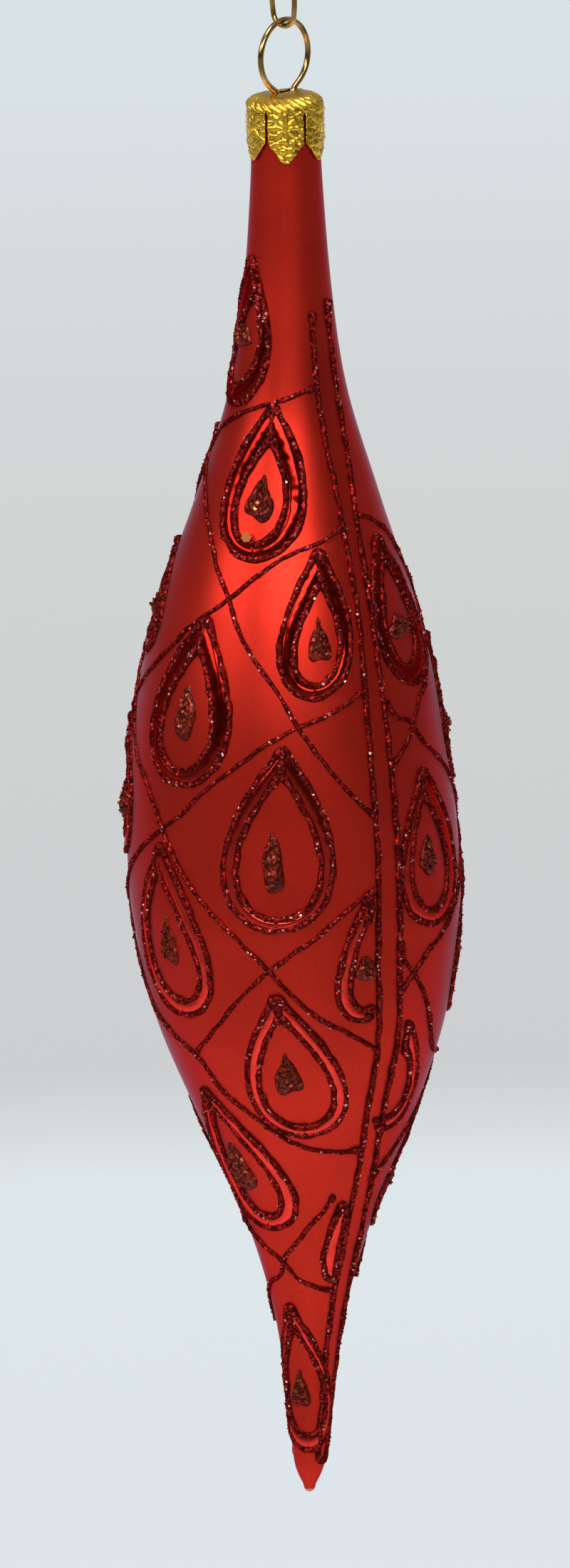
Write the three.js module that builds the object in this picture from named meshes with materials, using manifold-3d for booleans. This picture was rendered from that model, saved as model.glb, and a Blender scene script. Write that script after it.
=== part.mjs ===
// Olive-shaped glass bauble: a long mouth-blown drop on a crown cap, with its hanger and hook.
// Millimetres, +Z up. The origin is the inner top of the hook's crook, where the bauble hangs.
// The hanger's ring lies in the XZ plane and the hook in the YZ plane.
import * as THREE from 'three';
import { mergeVertices } from 'three/addons/utils/BufferGeometryUtils.js';
import Module from 'manifold-3d';

const wasm = await Module();
wasm.setup();

// Glass: depths run down from the lip
const GLASS_LENGTH = 212.1;
const GLASS_WALL = 0.8;
const LIP_RADIUS = 4.85;
const NECK_RADIUS = 5.3;
const NECK_LENGTH = 12;
const BELLY_RADIUS = 24.5;
const BELLY_DEPTH = 114;
const TAIL_RADIUS = 3.3;
const TAIL_LENGTH = 15.1;
const NIB_RADIUS = 2.55;
const NIB_LENGTH = 7;
const HOLLOW_END = 9;
const GLASS_SIDES = 32;
const GLASS_RINGS = 28;
const BORE_RINGS = 20;
// Share of the way down, and share of the swelling reached there
const SWELL = [[0.17, 0.07], [0.31, 0.19], [0.46, 0.435], [0.61, 0.7], [0.755, 0.885], [0.91, 0.984]];
const TAPER = [[0.08, 0.993], [0.265, 0.877], [0.446, 0.632], [0.627, 0.34], [0.82, 0.111]];
const NIB = [[0.36, 0.86], [0.61, 0.63], [0.79, 0.39], [0.94, 0.25], [1, 0]];
// The blown drop is not quite straight: share of its length, and sideways drift to the front's right
const DRIFT = [
  [0, 0], [0.06, 0], [0.21, -0.3], [0.42, -1.15], [0.61, -0.15], [0.75, 0.8], [0.89, 0.6], [1, 0.2],
];

// Cap: stamped sheet, heights above the cap's shoulder plane
const CAP_SHEET = 0.3;
const CAP_CLEARANCE = 0.5;
const CAP_DOME = 0.65;
const CAP_SHOULDER = 1.1;
const CAP_FLUTES = 24;
const FLUTE_DEPTH = 0.12;
const TAB_COUNT = 6;
const TAB_TIP = 8.75;
const TAB_VALLEY = 5.85;
const TAB_TIP_WIDTH = 0.7;
const SLIT_TOP = 1.3;
const SLIT_WIDTH = 0.4;
const LIP_DROP = 0.9;
// The dome's arch: share of the radius, and drop as a share of the rise
const CAP_RISE = 1.15;
const CAP_ARCH = [[0, 0], [0.39, -0.06], [0.64, -0.24], [0.81, -0.55], [0.94, -0.87], [1, -1.5]];
const FLUTE_BAND = [0.78, 0.95];

// Hanger: a ring of spring wire with two legs through the cap into the neck
const HANGER_WIRE = 0.86;
const RING_RADIUS = 5.25;
const RING_STAND = 1.65;
const RING_OPENING = 43;
const LEG_SPACING = 3.2;
const LEG_STRAIGHT = 4;
const LEG_LENGTH = 22;
const LEG_BEND = 0.35;
const LEG_FOOT = 2;
const WIRE_CLEARANCE = 0.3;

// Hook: one wire bent to an eye below and an open crook above
const HOOK_WIRE = 0.8;
const HOOK_DROP = 36;
const CROOK_RADIUS = 5.4;
const CROOK_TAIL = 4;
const CROOK_FLARE = 0.25;
const EYE_WIDTH = 4;
const EYE_HEIGHT = 9;
const EYE_PINCH = 1;
const HANG_GAP = 0.1;

// Raised glitter lines on the glass
const FRONT = -49;
const LINE_LIFT = 0.3;
const STRIPE_WIDTH = 1.1;
const STRIPE_HEIGHT = 0.55;
const STRIPE_SPACING = 3.4;
const STRIPE_START = 29.7;
const STRIPE_FOOT = 6.4;
const LATTICE_WIDTH = 0.9;
const LATTICE_HEIGHT = 0.45;
const OUTLINE_WIDTH = 1.2;
const OUTLINE_HEIGHT = 0.6;
const OUTLINE_BAND = 1.9;
const BAND_SHARE = 0.37;
const LINE_GAP = 0.3;
const LINE_STEP = 4;
const LOOP_STEP = 3;
// Centre drops: length, shift to the foot and half width as shares of the outline's
const CENTRE_SHARES = { length: 0.3, shift: 0.1, half: 0.21 };
const CENTRE_HEIGHT = 1;
const CENTRE_POINT = 0.4;
const CENTRE_SIDES = 10;
// Share of the foot's spread and share of the height
const CENTRE_LEVELS = [[1, 0], [0.65, 0.75]];
const STRIPE_AZIMUTHS = { front_stripes: 31.5, back_stripes: 200 };

// Teardrops: azimuth from the front and percent of the glass's length at the middle, percent of the
// glass's length from end to end, half width and lean from middle to tip in degrees, and the side drawn
const TEARDROPS = [
  { azimuth: -57, down: 15.6, length: 9.4, half: 30.7, lean: 0 },
  { azimuth: -19, down: 26, length: 9.4, half: 28.2, lean: 5 },
  { azimuth: 11.5, down: 35.2, length: 8.7, half: 16.4, lean: 4 },
  { azimuth: 61, down: 34.8, length: 9.2, half: 16.3, lean: 1 },
  { azimuth: -43, down: 40.8, length: 10.6, half: 18.9, lean: 3 },
  { azimuth: -5, down: 49.9, length: 12.3, half: 19.6, lean: 0 },
  { azimuth: 58, down: 51.4, length: 10.4, half: 15.7, lean: 1 },
  { azimuth: -50, down: 57, length: 11.8, half: 18.8, lean: -2 },
  { azimuth: -2, down: 66, length: 10.6, half: 21.5, lean: -6 },
  { azimuth: 26, down: 58.5, length: 8.7, half: 12.4, lean: 0, side: 'left' },
  { azimuth: 46, down: 67.8, length: 8, half: 17.7, lean: 0, side: 'right', bare: true },
  { azimuth: -40, down: 73.5, length: 10.4, half: 23.4, lean: -14 },
  { azimuth: 25, down: 80.2, length: 5.4, half: 17, lean: 0, side: 'left', bare: true },
  { azimuth: -33, down: 90.7, length: 10.8, half: 44, lean: -3 },
  { azimuth: 97, down: 75.5, length: 9, half: 22.3, lean: 0 },
  { azimuth: -86, down: 34, length: 9, half: 16.5, lean: 0 },
  { azimuth: -90, down: 47.8, length: 9.4, half: 15.1, lean: 0 },
  { azimuth: 98, down: 59.5, length: 10.4, half: 16.5, lean: 0 },
  { azimuth: 98, down: 43, length: 9.9, half: 15.7, lean: 0 },
  { azimuth: 137, down: 34.7, length: 9.4, half: 17.9, lean: 0 },
  { azimuth: 137, down: 51.2, length: 10.4, half: 16.4, lean: 0 },
  { azimuth: 137, down: 67.7, length: 9.9, half: 18.2, lean: 0 },
  { azimuth: 175, down: 43, length: 9.9, half: 15.2, lean: 0 },
  { azimuth: 175, down: 59.5, length: 10.4, half: 16, lean: 0 },
  { azimuth: -126, down: 40.6, length: 9.9, half: 15.8, lean: 0 },
  { azimuth: -126, down: 56.6, length: 9.9, half: 15.5, lean: 0 },
];

// Lattice lines between two pairs of stripes, each a chain of [percent of the way across from the
// first pair to the second, percent of the glass's length]
const LATTICES = {
  left_lattice: {
    between: ['back_stripes', 'front_stripes'],
    lines: [
      [[100, 19.3], [69.1, 20.1], [49.4, 21.7], [31.9, 23.6], [20.1, 28], [10.7, 32.6], [0, 38.5]],
      [[33.8, 22.5], [33.1, 24.6], [45.1, 27.3], [60.7, 31.3], [70.8, 35.3], [86.3, 41.6], [100, 48.8]],
      [[0, 27], [10.7, 32.6], [34, 41.3], [55.2, 49.3], [64.2, 53.9], [77.8, 58.7], [92, 63], [100, 65.8]],
      [[0, 43], [12.9, 48.8], [34.3, 58.5], [46.5, 64], [55.5, 65.9], [61.6, 68.6], [78.9, 72], [100, 73.5]],
      [[100, 28.8], [74.8, 31.6], [53.6, 36.2], [34, 41.3], [12.9, 48.8], [0, 55]],
      [[100, 39.4], [88, 41.2], [66.5, 46.2], [41.7, 53.1], [23.5, 60.4], [12.3, 64.2], [0, 69.5]],
      [[100, 52], [92.4, 55], [77.8, 58.7], [57.2, 66]],
      [[0, 58], [12.3, 64.2], [22.3, 68.8], [34.5, 73]],
    ],
  },
  right_lattice: {
    between: ['front_stripes', 'back_stripes'],
    lines: [
      [[0, 28], [8.7, 28.6], [18.4, 30], [34.7, 34.7], [61.1, 43], [86.4, 51.2], [100, 57]],
      [[0, 40.4], [6.9, 42.6], [28.1, 48], [35.9, 51.2], [61.1, 59.5], [86.6, 67.7], [100, 73.5]],
      [[0, 57], [2, 60.1], [15.6, 65.5], [34.8, 68.3], [59.4, 76.5], [89, 84], [100, 89]],
      [[0, 23.5], [24.8, 24], [59.6, 26.5], [86.7, 34.7], [100, 41]],
      [[0, 45], [6.9, 42.6], [25.2, 37.8], [34.7, 34.7], [59.6, 26.5], [75.7, 22.3], [100, 20.5]],
      [[0, 62], [2, 60.1], [13.8, 57.8], [35.9, 51.2], [61.1, 43], [86.7, 34.7], [100, 29]],
      [[0, 76], [18.6, 72.5], [34.8, 68.3], [61.1, 59.5], [86.4, 51.2], [100, 45]],
      [[23.9, 84], [59.4, 76.5], [86.6, 67.7], [100, 62]],
    ],
  },
  tail_lattice: {
    between: ['back_stripes', 'front_stripes'],
    lines: [
      [[0, 74.6], [5.4, 78.2], [35.1, 80.6], [64.1, 82.2], [78.3, 83.6], [100, 84.8]],
      [[100, 74.8], [95.5, 76.5], [69.7, 81.3], [51.8, 84], [20.8, 87.5]],
    ],
  },
};

const tailDepth = GLASS_LENGTH - TAIL_LENGTH;
const degrees = THREE.MathUtils.radToDeg;
const radians = THREE.MathUtils.degToRad;

// A smooth function through [x, y] stations, flat beyond its ends
function curveThrough(stations) {
  const last = stations.length - 1;
  const slopes = stations.map((station, i) => {
    const before = stations[Math.max(i - 1, 0)];
    const after = stations[Math.min(i + 1, last)];
    return (after[1] - before[1]) / (after[0] - before[0]);
  });
  return (x) => {
    if (x <= stations[0][0]) return stations[0][1];
    if (x >= stations[last][0]) return stations[last][1];
    const i = stations.findIndex((station) => x < station[0]) - 1;
    const [x0, y0] = stations[i];
    const [x1, y1] = stations[i + 1];
    const run = x1 - x0;
    const t = (x - x0) / run;
    const swing = t * (1 - t) * run;
    return y0 + (y1 - y0) * t * t * (3 - 2 * t) + swing * (slopes[i] * (1 - t) - slopes[i + 1] * t);
  };
}

const glassRadius = curveThrough([
  [0, LIP_RADIUS],
  [NECK_LENGTH, NECK_RADIUS],
  ...SWELL.map(([way, share]) => [
    NECK_LENGTH + way * (BELLY_DEPTH - NECK_LENGTH),
    NECK_RADIUS + share * (BELLY_RADIUS - NECK_RADIUS),
  ]),
  [BELLY_DEPTH, BELLY_RADIUS],
  ...TAPER.map(([way, share]) => [
    BELLY_DEPTH + way * (tailDepth - BELLY_DEPTH),
    TAIL_RADIUS + share * (BELLY_RADIUS - TAIL_RADIUS),
  ]),
  [tailDepth, TAIL_RADIUS],
  [GLASS_LENGTH - NIB_LENGTH, NIB_RADIUS],
  ...NIB.map(([way, share]) => [GLASS_LENGTH - NIB_LENGTH * (1 - way), NIB_RADIUS * share]),
]);
const driftAlong = curveThrough(DRIFT);

// The drift's direction and its size at a depth
function glassDrift(depth) {
  const side = radians(FRONT + 90);
  const direction = new THREE.Vector3(Math.sin(side), -Math.cos(side), 0);
  return direction.multiplyScalar(driftAlong(depth / GLASS_LENGTH));
}

// A point of the glass's outside with its outward normal, azimuth counted from the front
function onGlass(azimuth, depth, lift = 0) {
  const turn = radians(FRONT + azimuth);
  const slope = glassRadius(depth + 0.5) - glassRadius(depth - 0.5);
  const outward = new THREE.Vector3(Math.sin(turn), -Math.cos(turn), 0);
  const normal = outward.clone().setZ(slope).normalize();
  const point = outward.multiplyScalar(glassRadius(depth)).setZ(-LIP_DROP - depth);
  point.add(glassDrift(depth)).addScaledVector(normal, lift);
  return { point, normal };
}

// Geometry with shared corners and without the faces that shrink to a line
function closed(geometry) {
  geometry.deleteAttribute('normal');
  geometry.deleteAttribute('uv');
  const merged = mergeVertices(geometry, 1e-4);
  const index = Array.from(merged.index.array);
  const faces = [];
  for (let i = 0; i < index.length; i += 3) {
    const [a, b, c] = index.slice(i, i + 3);
    if (a !== b && b !== c && c !== a) faces.push(a, b, c);
  }
  merged.setIndex(faces);
  return merged;
}

function toSolid(geometry) {
  const tidy = closed(geometry);
  const vertProperties = new Float32Array(tidy.attributes.position.array);
  const triVerts = new Uint32Array(tidy.index.array);
  return new wasm.Manifold(new wasm.Mesh({ numProp: 3, vertProperties, triVerts }));
}

function fromSolid(solid) {
  const { vertProperties, triVerts } = solid.getMesh();
  const geometry = new THREE.BufferGeometry();
  geometry.setAttribute('position', new THREE.BufferAttribute(vertProperties, 3));
  geometry.setIndex(new THREE.BufferAttribute(triVerts, 1));
  return geometry;
}

const joined = (solids) => solids.reduce((whole, next) => whole.add(next));

// A profile of [radius, height] pairs turned about the Z axis
function turned(profile, sides) {
  const points = profile.map(([radius, height]) => new THREE.Vector2(radius, height));
  return new THREE.LatheGeometry(points, sides).rotateX(Math.PI / 2);
}

// Round wire along hand-set points
function wire(points, diameter, steps) {
  const section = new THREE.Shape().absarc(0, 0, diameter / 2, 0, 2 * Math.PI);
  const extrudePath = new THREE.CatmullRomCurve3(points, false, 'centripetal');
  return new THREE.ExtrudeGeometry(section, { steps, curveSegments: 4, bevelEnabled: false, extrudePath });
}

// A closed body through rings of equally many corners
function lofted(rings) {
  const sides = rings[0].length;
  const end = sides * (rings.length - 1);
  const faces = [];
  for (let i = 0; i < end; i += sides) {
    for (let side = 0; side < sides; side += 1) {
      const a = i + side;
      const b = i + (side + 1) % sides;
      faces.push(a, b + sides, b, a, a + sides, b + sides);
    }
  }
  for (let side = 1; side < sides - 1; side += 1) {
    faces.push(0, side, side + 1, end, end + side + 1, end + side);
  }
  const geometry = new THREE.BufferGeometry().setFromPoints(rings.flat());
  geometry.setIndex(faces);
  return geometry;
}

// A raised line laid along the glass: two feet and a ridge at each stop
function raisedLine(stops, width, height) {
  const spots = stops.map(([azimuth, depth]) => onGlass(azimuth, depth, LINE_LIFT));
  return lofted(spots.map(({ point, normal }, i) => {
    const before = spots[Math.max(i - 1, 0)].point;
    const after = spots[Math.min(i + 1, spots.length - 1)].point;
    const across = after.clone().sub(before).cross(normal).setLength(width / 2);
    const ridge = point.clone().addScaledVector(normal, height);
    return [point.clone().sub(across), point.clone().add(across), ridge];
  }));
}

// Stops about LINE_STEP apart on a smooth curve through [azimuth, depth] knots
function stopsThrough(knots) {
  const corners = knots.map(([azimuth, depth]) => new THREE.Vector3(azimuth, depth, 0));
  const curve = new THREE.CatmullRomCurve3(corners);
  let length = 0;
  let last = null;
  for (let i = 0; i <= 40; i += 1) {
    const spot = curve.getPoint(i / 40);
    const { point } = onGlass(spot.x, spot.y);
    if (last) length += point.distanceTo(last);
    last = point;
  }
  const count = Math.max(2, Math.round(length / LINE_STEP));
  return curve.getPoints(count).map((spot) => [spot.x, spot.y]);
}

// Two stripes side by side, drawn in one stroke that turns round near the tip
function stripeStops(azimuth) {
  const bottom = GLASS_LENGTH - STRIPE_FOOT;
  const count = Math.round((bottom - STRIPE_START) / LINE_STEP);
  const down = [];
  const up = [];
  for (let i = 0; i <= count; i += 1) {
    const depth = STRIPE_START + (bottom - STRIPE_START) * i / count;
    down.push([azimuth, depth]);
    up.unshift([azimuth + degrees(STRIPE_SPACING / glassRadius(depth)), depth]);
  }
  const turnDepth = bottom + STRIPE_WIDTH / 2;
  const turn = [0.33, 0.67].map((way) => [azimuth + way * (up[0][0] - azimuth), turnDepth]);
  return [...down, ...turn, ...up];
}

// Azimuth at a share of the way across the field between two pairs of stripes
function acrossField([first, second], share, depth) {
  const clearance = STRIPE_WIDTH / 2 + LINE_GAP + LATTICE_WIDTH / 2;
  const start = STRIPE_AZIMUTHS[first] + degrees((STRIPE_SPACING + clearance) / glassRadius(depth));
  const end = STRIPE_AZIMUTHS[second] - degrees(clearance / glassRadius(depth));
  return start + share * ((end - start + 360) % 360);
}

// A teardrop's middle, length and half width in millimetres
function teardropSize(drop) {
  const middle = drop.down / 100 * GLASS_LENGTH;
  const length = drop.length / 100 * GLASS_LENGTH;
  const half = radians(drop.half) * glassRadius(middle);
  return { middle, length, half };
}

// One side of a teardrop outline, from its tip round to its foot
function teardropSide(drop, inset, tipInset, side) {
  const size = teardropSize(drop);
  const width = size.half - inset;
  const length = size.length - inset - tipInset;
  const middle = size.middle + (tipInset - inset) / 2;
  const count = Math.max(6, Math.round(length / LOOP_STEP));
  // The greatest value of sin(a) sin(a / 2)
  const peak = 4 / (3 * Math.sqrt(3));
  const stops = [];
  for (let i = 0; i <= count; i += 1) {
    const angle = Math.PI * i / count;
    const depth = middle - length / 2 * Math.cos(angle);
    const across = side * width * Math.sin(angle) * Math.sin(angle / 2) / peak;
    const lean = drop.lean * (middle - depth) / (length / 2);
    stops.push([drop.azimuth + lean + degrees(across / glassRadius(depth)), depth]);
  }
  return stops;
}

// Two outlines, one in the other, that meet at the tip
function teardropOutline(drop) {
  const sides = { left: [-1], right: [1] }[drop.side] ?? [-1, 1];
  const outer = OUTLINE_WIDTH / 2;
  const band = Math.min(OUTLINE_BAND, teardropSize(drop).half * BAND_SHARE);
  const lines = sides.flatMap((side) => [
    teardropSide(drop, outer, outer, side),
    teardropSide(drop, outer + band, outer + OUTLINE_WIDTH, side),
  ]);
  return joined(lines.map((stops) => toSolid(raisedLine(stops, OUTLINE_WIDTH, OUTLINE_HEIGHT))));
}

// The small glitter drop inside an outline: a low dome on a teardrop foot
function centreDrop(drop) {
  const size = teardropSize(drop);
  const length = size.length * CENTRE_SHARES.length;
  const width = size.half * CENTRE_SHARES.half;
  const middle = size.middle + size.length * CENTRE_SHARES.shift;
  const count = CENTRE_SIDES;
  const corners = [];
  CENTRE_LEVELS.forEach(([spread, rise]) => {
    for (let i = 0; i < count; i += 1) {
      const angle = 2 * Math.PI * i / count;
      const depth = middle - spread * length / 2 * Math.cos(angle);
      const across = spread * width * Math.sin(angle) * (1 - CENTRE_POINT * Math.cos(angle));
      const turn = drop.azimuth + degrees(across / glassRadius(depth));
      corners.push(onGlass(turn, depth, LINE_LIFT + rise * CENTRE_HEIGHT).point);
    }
  });
  corners.push(onGlass(drop.azimuth, middle, LINE_LIFT).point);
  corners.push(onGlass(drop.azimuth, middle, LINE_LIFT + CENTRE_HEIGHT).point);
  const faces = [];
  for (let i = 0; i < count; i += 1) {
    const next = (i + 1) % count;
    faces.push(i, next, 2 * count, count + i, 2 * count + 1, count + next);
    faces.push(i, count + next, next, i, count + i, count + next);
  }
  const geometry = new THREE.BufferGeometry().setFromPoints(corners);
  geometry.setIndex(faces);
  return geometry;
}

// Hollow glass drop: outside up to the lip, then the inside down to where the hollow ends
function glassShell() {
  const bottom = GLASS_LENGTH - HOLLOW_END;
  const profile = [];
  for (const [way] of [...NIB].reverse()) {
    const depth = GLASS_LENGTH - NIB_LENGTH * (1 - way);
    profile.push([glassRadius(depth), -LIP_DROP - depth]);
  }
  const start = GLASS_LENGTH - NIB_LENGTH;
  for (let i = GLASS_RINGS; i >= 0; i -= 1) {
    const depth = start * i / GLASS_RINGS;
    profile.push([glassRadius(depth), -LIP_DROP - depth]);
  }
  for (let i = 0; i < BORE_RINGS; i += 1) {
    const depth = bottom * i / BORE_RINGS;
    profile.push([glassRadius(depth) - GLASS_WALL, -LIP_DROP - depth]);
  }
  profile.push([0, -LIP_DROP - bottom]);
  const geometry = closed(turned(profile, GLASS_SIDES));
  const corners = geometry.attributes.position;
  for (let i = 0; i < corners.count; i += 1) {
    const shift = glassDrift(-LIP_DROP - corners.getZ(i));
    corners.setXY(i, corners.getX(i) + shift.x, corners.getY(i) + shift.y);
  }
  return geometry;
}

const capRadius = LIP_RADIUS + CAP_CLEARANCE + CAP_SHEET;

// The cap's sheet before it is slit: domed top, fluted shoulder and a straight skirt
function capBlank() {
  const inner = capRadius - CAP_SHEET;
  const outside = CAP_ARCH.map(([share, drop]) => [capRadius * share, CAP_DOME + drop * CAP_RISE]);
  const inside = CAP_ARCH.map(([share, drop]) => [inner * share, CAP_DOME - CAP_SHEET + drop * CAP_RISE]);
  const profile = [...inside, [inner, -TAB_TIP], [capRadius, -TAB_TIP], ...outside.reverse()];
  const geometry = closed(turned(profile, 2 * CAP_FLUTES));
  const corners = geometry.attributes.position;
  for (let i = 0; i < corners.count; i += 1) {
    const spot = new THREE.Vector2(corners.getX(i), corners.getY(i));
    const share = spot.length() / capRadius;
    const onShoulder = share > FLUTE_BAND[0] && share < FLUTE_BAND[1] && corners.getZ(i) > -CAP_SHOULDER;
    if (!onShoulder) continue;
    const step = Math.round(spot.angle() * CAP_FLUTES / Math.PI);
    spot.setLength(spot.length() + (step % 2 ? -FLUTE_DEPTH : FLUTE_DEPTH));
    corners.setXY(i, spot.x, spot.y);
  }
  return toSolid(geometry);
}

// What is cut between two tabs: a slit that opens into a V
function tabCut(azimuth) {
  const reach = capRadius * Math.sin(Math.PI / TAB_COUNT) - TAB_TIP_WIDTH / 2;
  const half = SLIT_WIDTH / 2;
  const below = TAB_TIP + 1;
  const right = [[half, -SLIT_TOP], [half, -TAB_VALLEY], [reach, -TAB_TIP], [reach, -below]];
  const left = right.map(([x, y]) => [-x, y]).reverse();
  const outline = new THREE.Shape([...right, ...left].reverse().map(([x, y]) => new THREE.Vector2(x, y)));
  const geometry = new THREE.ExtrudeGeometry(outline, { depth: capRadius, bevelEnabled: false });
  geometry.rotateX(Math.PI / 2);
  geometry.translate(0, -capRadius / 2, 0);
  geometry.rotateZ(radians(azimuth));
  return toSolid(geometry);
}

function cap() {
  const slot = new THREE.BoxGeometry(
    LEG_SPACING + HANGER_WIRE + 2 * WIRE_CLEARANCE,
    HANGER_WIRE + 2 * WIRE_CLEARANCE,
    4 * CAP_DOME,
  );
  let solid = capBlank().subtract(toSolid(slot));
  for (let tab = 0; tab < TAB_COUNT; tab += 1) {
    solid = solid.subtract(tabCut(FRONT + (tab + 0.5) * 360 / TAB_COUNT));
  }
  return fromSolid(solid);
}

const legX = LEG_SPACING / 2;
const ringCentre = CAP_DOME + RING_STAND + RING_RADIUS * Math.cos(radians(RING_OPENING));
const ringTop = ringCentre + RING_RADIUS;

// Half of the hanger's wire, from the ring's top down one leg
function hangerHalf(side) {
  const points = [];
  const stops = 9;
  for (let i = 0; i <= stops; i += 1) {
    const angle = radians((180 - RING_OPENING) * i / stops);
    points.push([side * RING_RADIUS * Math.sin(angle), ringCentre + RING_RADIUS * Math.cos(angle)]);
  }
  const boreRadius = LIP_RADIUS - GLASS_WALL;
  const splay = boreRadius - WIRE_CLEARANCE - HANGER_WIRE / 2;
  points.push([side * (legX + LEG_BEND), CAP_DOME + LEG_BEND]);
  points.push([side * legX, CAP_DOME - LEG_BEND]);
  points.push([side * legX, -LEG_STRAIGHT / 2]);
  points.push([side * legX, -LEG_STRAIGHT]);
  points.push([side * (legX + splay) / 2, (-LEG_STRAIGHT - LEG_LENGTH) / 2]);
  points.push([side * splay, LEG_FOOT - LEG_LENGTH]);
  points.push([side * splay, -LEG_LENGTH]);
  return points;
}

function hanger() {
  const route = [...hangerHalf(-1).slice(1).reverse(), ...hangerHalf(1)];
  return wire(route.map(([x, z]) => new THREE.Vector3(x, 0, z)), HANGER_WIRE, 56);
}

// The hook's wire from the crook's free end, down the shank and round the eye
function hook() {
  const crookCentre = HOOK_WIRE / 2 - CROOK_RADIUS;
  const eyeRadius = EYE_WIDTH / 2;
  const eyeCentre = -HOOK_DROP + eyeRadius;
  const route = [[CROOK_RADIUS + CROOK_FLARE, crookCentre - CROOK_TAIL]];
  for (let i = 0; i <= 8; i += 1) {
    const angle = Math.PI * i / 8;
    route.push([CROOK_RADIUS * Math.cos(angle), crookCentre + CROOK_RADIUS * Math.sin(angle)]);
  }
  route.push([EYE_PINCH - CROOK_RADIUS, crookCentre - CROOK_RADIUS]);
  route.push([eyeRadius, eyeCentre + EYE_HEIGHT]);
  for (let i = 0; i <= 6; i += 1) {
    const angle = -Math.PI * i / 6;
    route.push([eyeRadius * Math.cos(angle), eyeCentre + eyeRadius * Math.sin(angle)]);
  }
  route.push([-eyeRadius, eyeCentre + EYE_HEIGHT / 2]);
  route.push([EYE_PINCH - eyeRadius, eyeCentre + EYE_HEIGHT - EYE_PINCH]);
  return wire(route.map(([y, z]) => new THREE.Vector3(0, y, z)), HOOK_WIRE, 48);
}

const gold = new THREE.MeshStandardMaterial({ color: 0xc9a03c, roughness: 0.3, metalness: 1 });
const goldWire = new THREE.MeshStandardMaterial({ color: 0xa98545, roughness: 0.25, metalness: 1 });
const redGlass = new THREE.MeshStandardMaterial({ color: 0xc4161c, roughness: 0.35, metalness: 0.6 });
const glitter = new THREE.MeshStandardMaterial({ color: 0x5e0f14, roughness: 0.6, metalness: 0.3 });
const flakes = new THREE.MeshStandardMaterial({ color: 0x6b3a1c, roughness: 0.4, metalness: 0.5 });

function part(name, geometry, material) {
  const mesh = new THREE.Mesh(geometry, material);
  mesh.name = name;
  return mesh;
}

const bauble = new THREE.Group();
bauble.position.z = -HOOK_DROP + (HOOK_WIRE + HANGER_WIRE) / 2 + HANG_GAP - ringTop;
bauble.add(part('hanger', hanger(), goldWire));
bauble.add(part('cap', cap(), gold));
bauble.add(part('glass', glassShell(), redGlass));

for (const [name, azimuth] of Object.entries(STRIPE_AZIMUTHS)) {
  bauble.add(part(name, raisedLine(stripeStops(azimuth), STRIPE_WIDTH, STRIPE_HEIGHT), glitter));
}

for (const [name, { between, lines }] of Object.entries(LATTICES)) {
  const solids = lines.map((line) => {
    const knots = line.map(([across, down]) => {
      const depth = down / 100 * GLASS_LENGTH;
      return [acrossField(between, across / 100, depth), depth];
    });
    return toSolid(raisedLine(stopsThrough(knots), LATTICE_WIDTH, LATTICE_HEIGHT));
  });
  bauble.add(part(name, fromSolid(joined(solids)), glitter));
}

TEARDROPS.forEach((drop, i) => {
  const number = String(i + 1).padStart(2, '0');
  bauble.add(part(`teardrop_${number}`, fromSolid(teardropOutline(drop)), glitter));
  if (!drop.bare) bauble.add(part(`centre_drop_${number}`, centreDrop(drop), flakes));
});

const group = new THREE.Group();
group.add(part('hook', hook(), goldWire));
group.add(bauble);

export default group;
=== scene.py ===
"""Dresses an olive-shaped glass bauble: satin red glass, a drawing in glitter, gold cap, hanger and hook."""

import math

import bmesh
import bpy
import numpy as np
from bpy.props import FloatProperty, FloatVectorProperty, IntProperty, PointerProperty
from bpy.types import NodeSocket, Operator, Panel, PropertyGroup
from mathutils import Matrix, Vector


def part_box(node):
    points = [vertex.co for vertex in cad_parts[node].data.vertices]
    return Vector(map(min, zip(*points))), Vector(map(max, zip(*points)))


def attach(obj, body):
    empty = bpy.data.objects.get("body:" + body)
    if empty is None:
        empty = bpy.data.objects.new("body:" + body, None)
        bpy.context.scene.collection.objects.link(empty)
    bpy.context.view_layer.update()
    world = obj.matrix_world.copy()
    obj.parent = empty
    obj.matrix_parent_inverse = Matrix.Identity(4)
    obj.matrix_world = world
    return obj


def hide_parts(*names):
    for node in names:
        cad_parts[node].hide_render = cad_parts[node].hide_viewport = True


bl_info = {
    "name": "Olive glass bauble",
    "version": (1, 0, 0),
    "blender": (4, 5, 0),
    "location": "3D View > Sidebar > Bauble",
    "description": "Makes the glass, glitter drawing, cap and wires of an olive-shaped bauble",
    "category": "Object",
}

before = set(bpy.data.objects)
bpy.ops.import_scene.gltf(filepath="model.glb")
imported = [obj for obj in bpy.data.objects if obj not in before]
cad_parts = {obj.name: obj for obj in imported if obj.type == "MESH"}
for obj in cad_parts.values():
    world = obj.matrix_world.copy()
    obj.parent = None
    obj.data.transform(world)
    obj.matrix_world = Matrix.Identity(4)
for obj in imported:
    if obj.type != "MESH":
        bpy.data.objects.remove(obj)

MM = 0.001
WHITE = (1, 1, 1)
GLASS_LOW, GLASS_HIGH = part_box("glass")
CAP_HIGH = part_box("cap")[1]
HANGER_LOW, HANGER_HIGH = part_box("hanger")
HOOK_LOW, HOOK_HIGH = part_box("hook")
LIP = GLASS_HIGH.z
GLASS_LENGTH = GLASS_HIGH.z - GLASS_LOW.z
# The front's azimuth, in degrees from -Y towards X
FRONT = -49.0

# The glass's outline: share of the way, and share of the swelling reached there
SWELL = [(0.17, 0.07), (0.31, 0.19), (0.46, 0.435), (0.61, 0.7), (0.755, 0.885), (0.91, 0.984)]
TAPER = [(0.08, 0.993), (0.265, 0.877), (0.446, 0.632), (0.627, 0.34), (0.82, 0.111)]
NIB = [(0.36, 0.86), (0.61, 0.63), (0.79, 0.39), (0.94, 0.25), (1, 0.0)]
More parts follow.
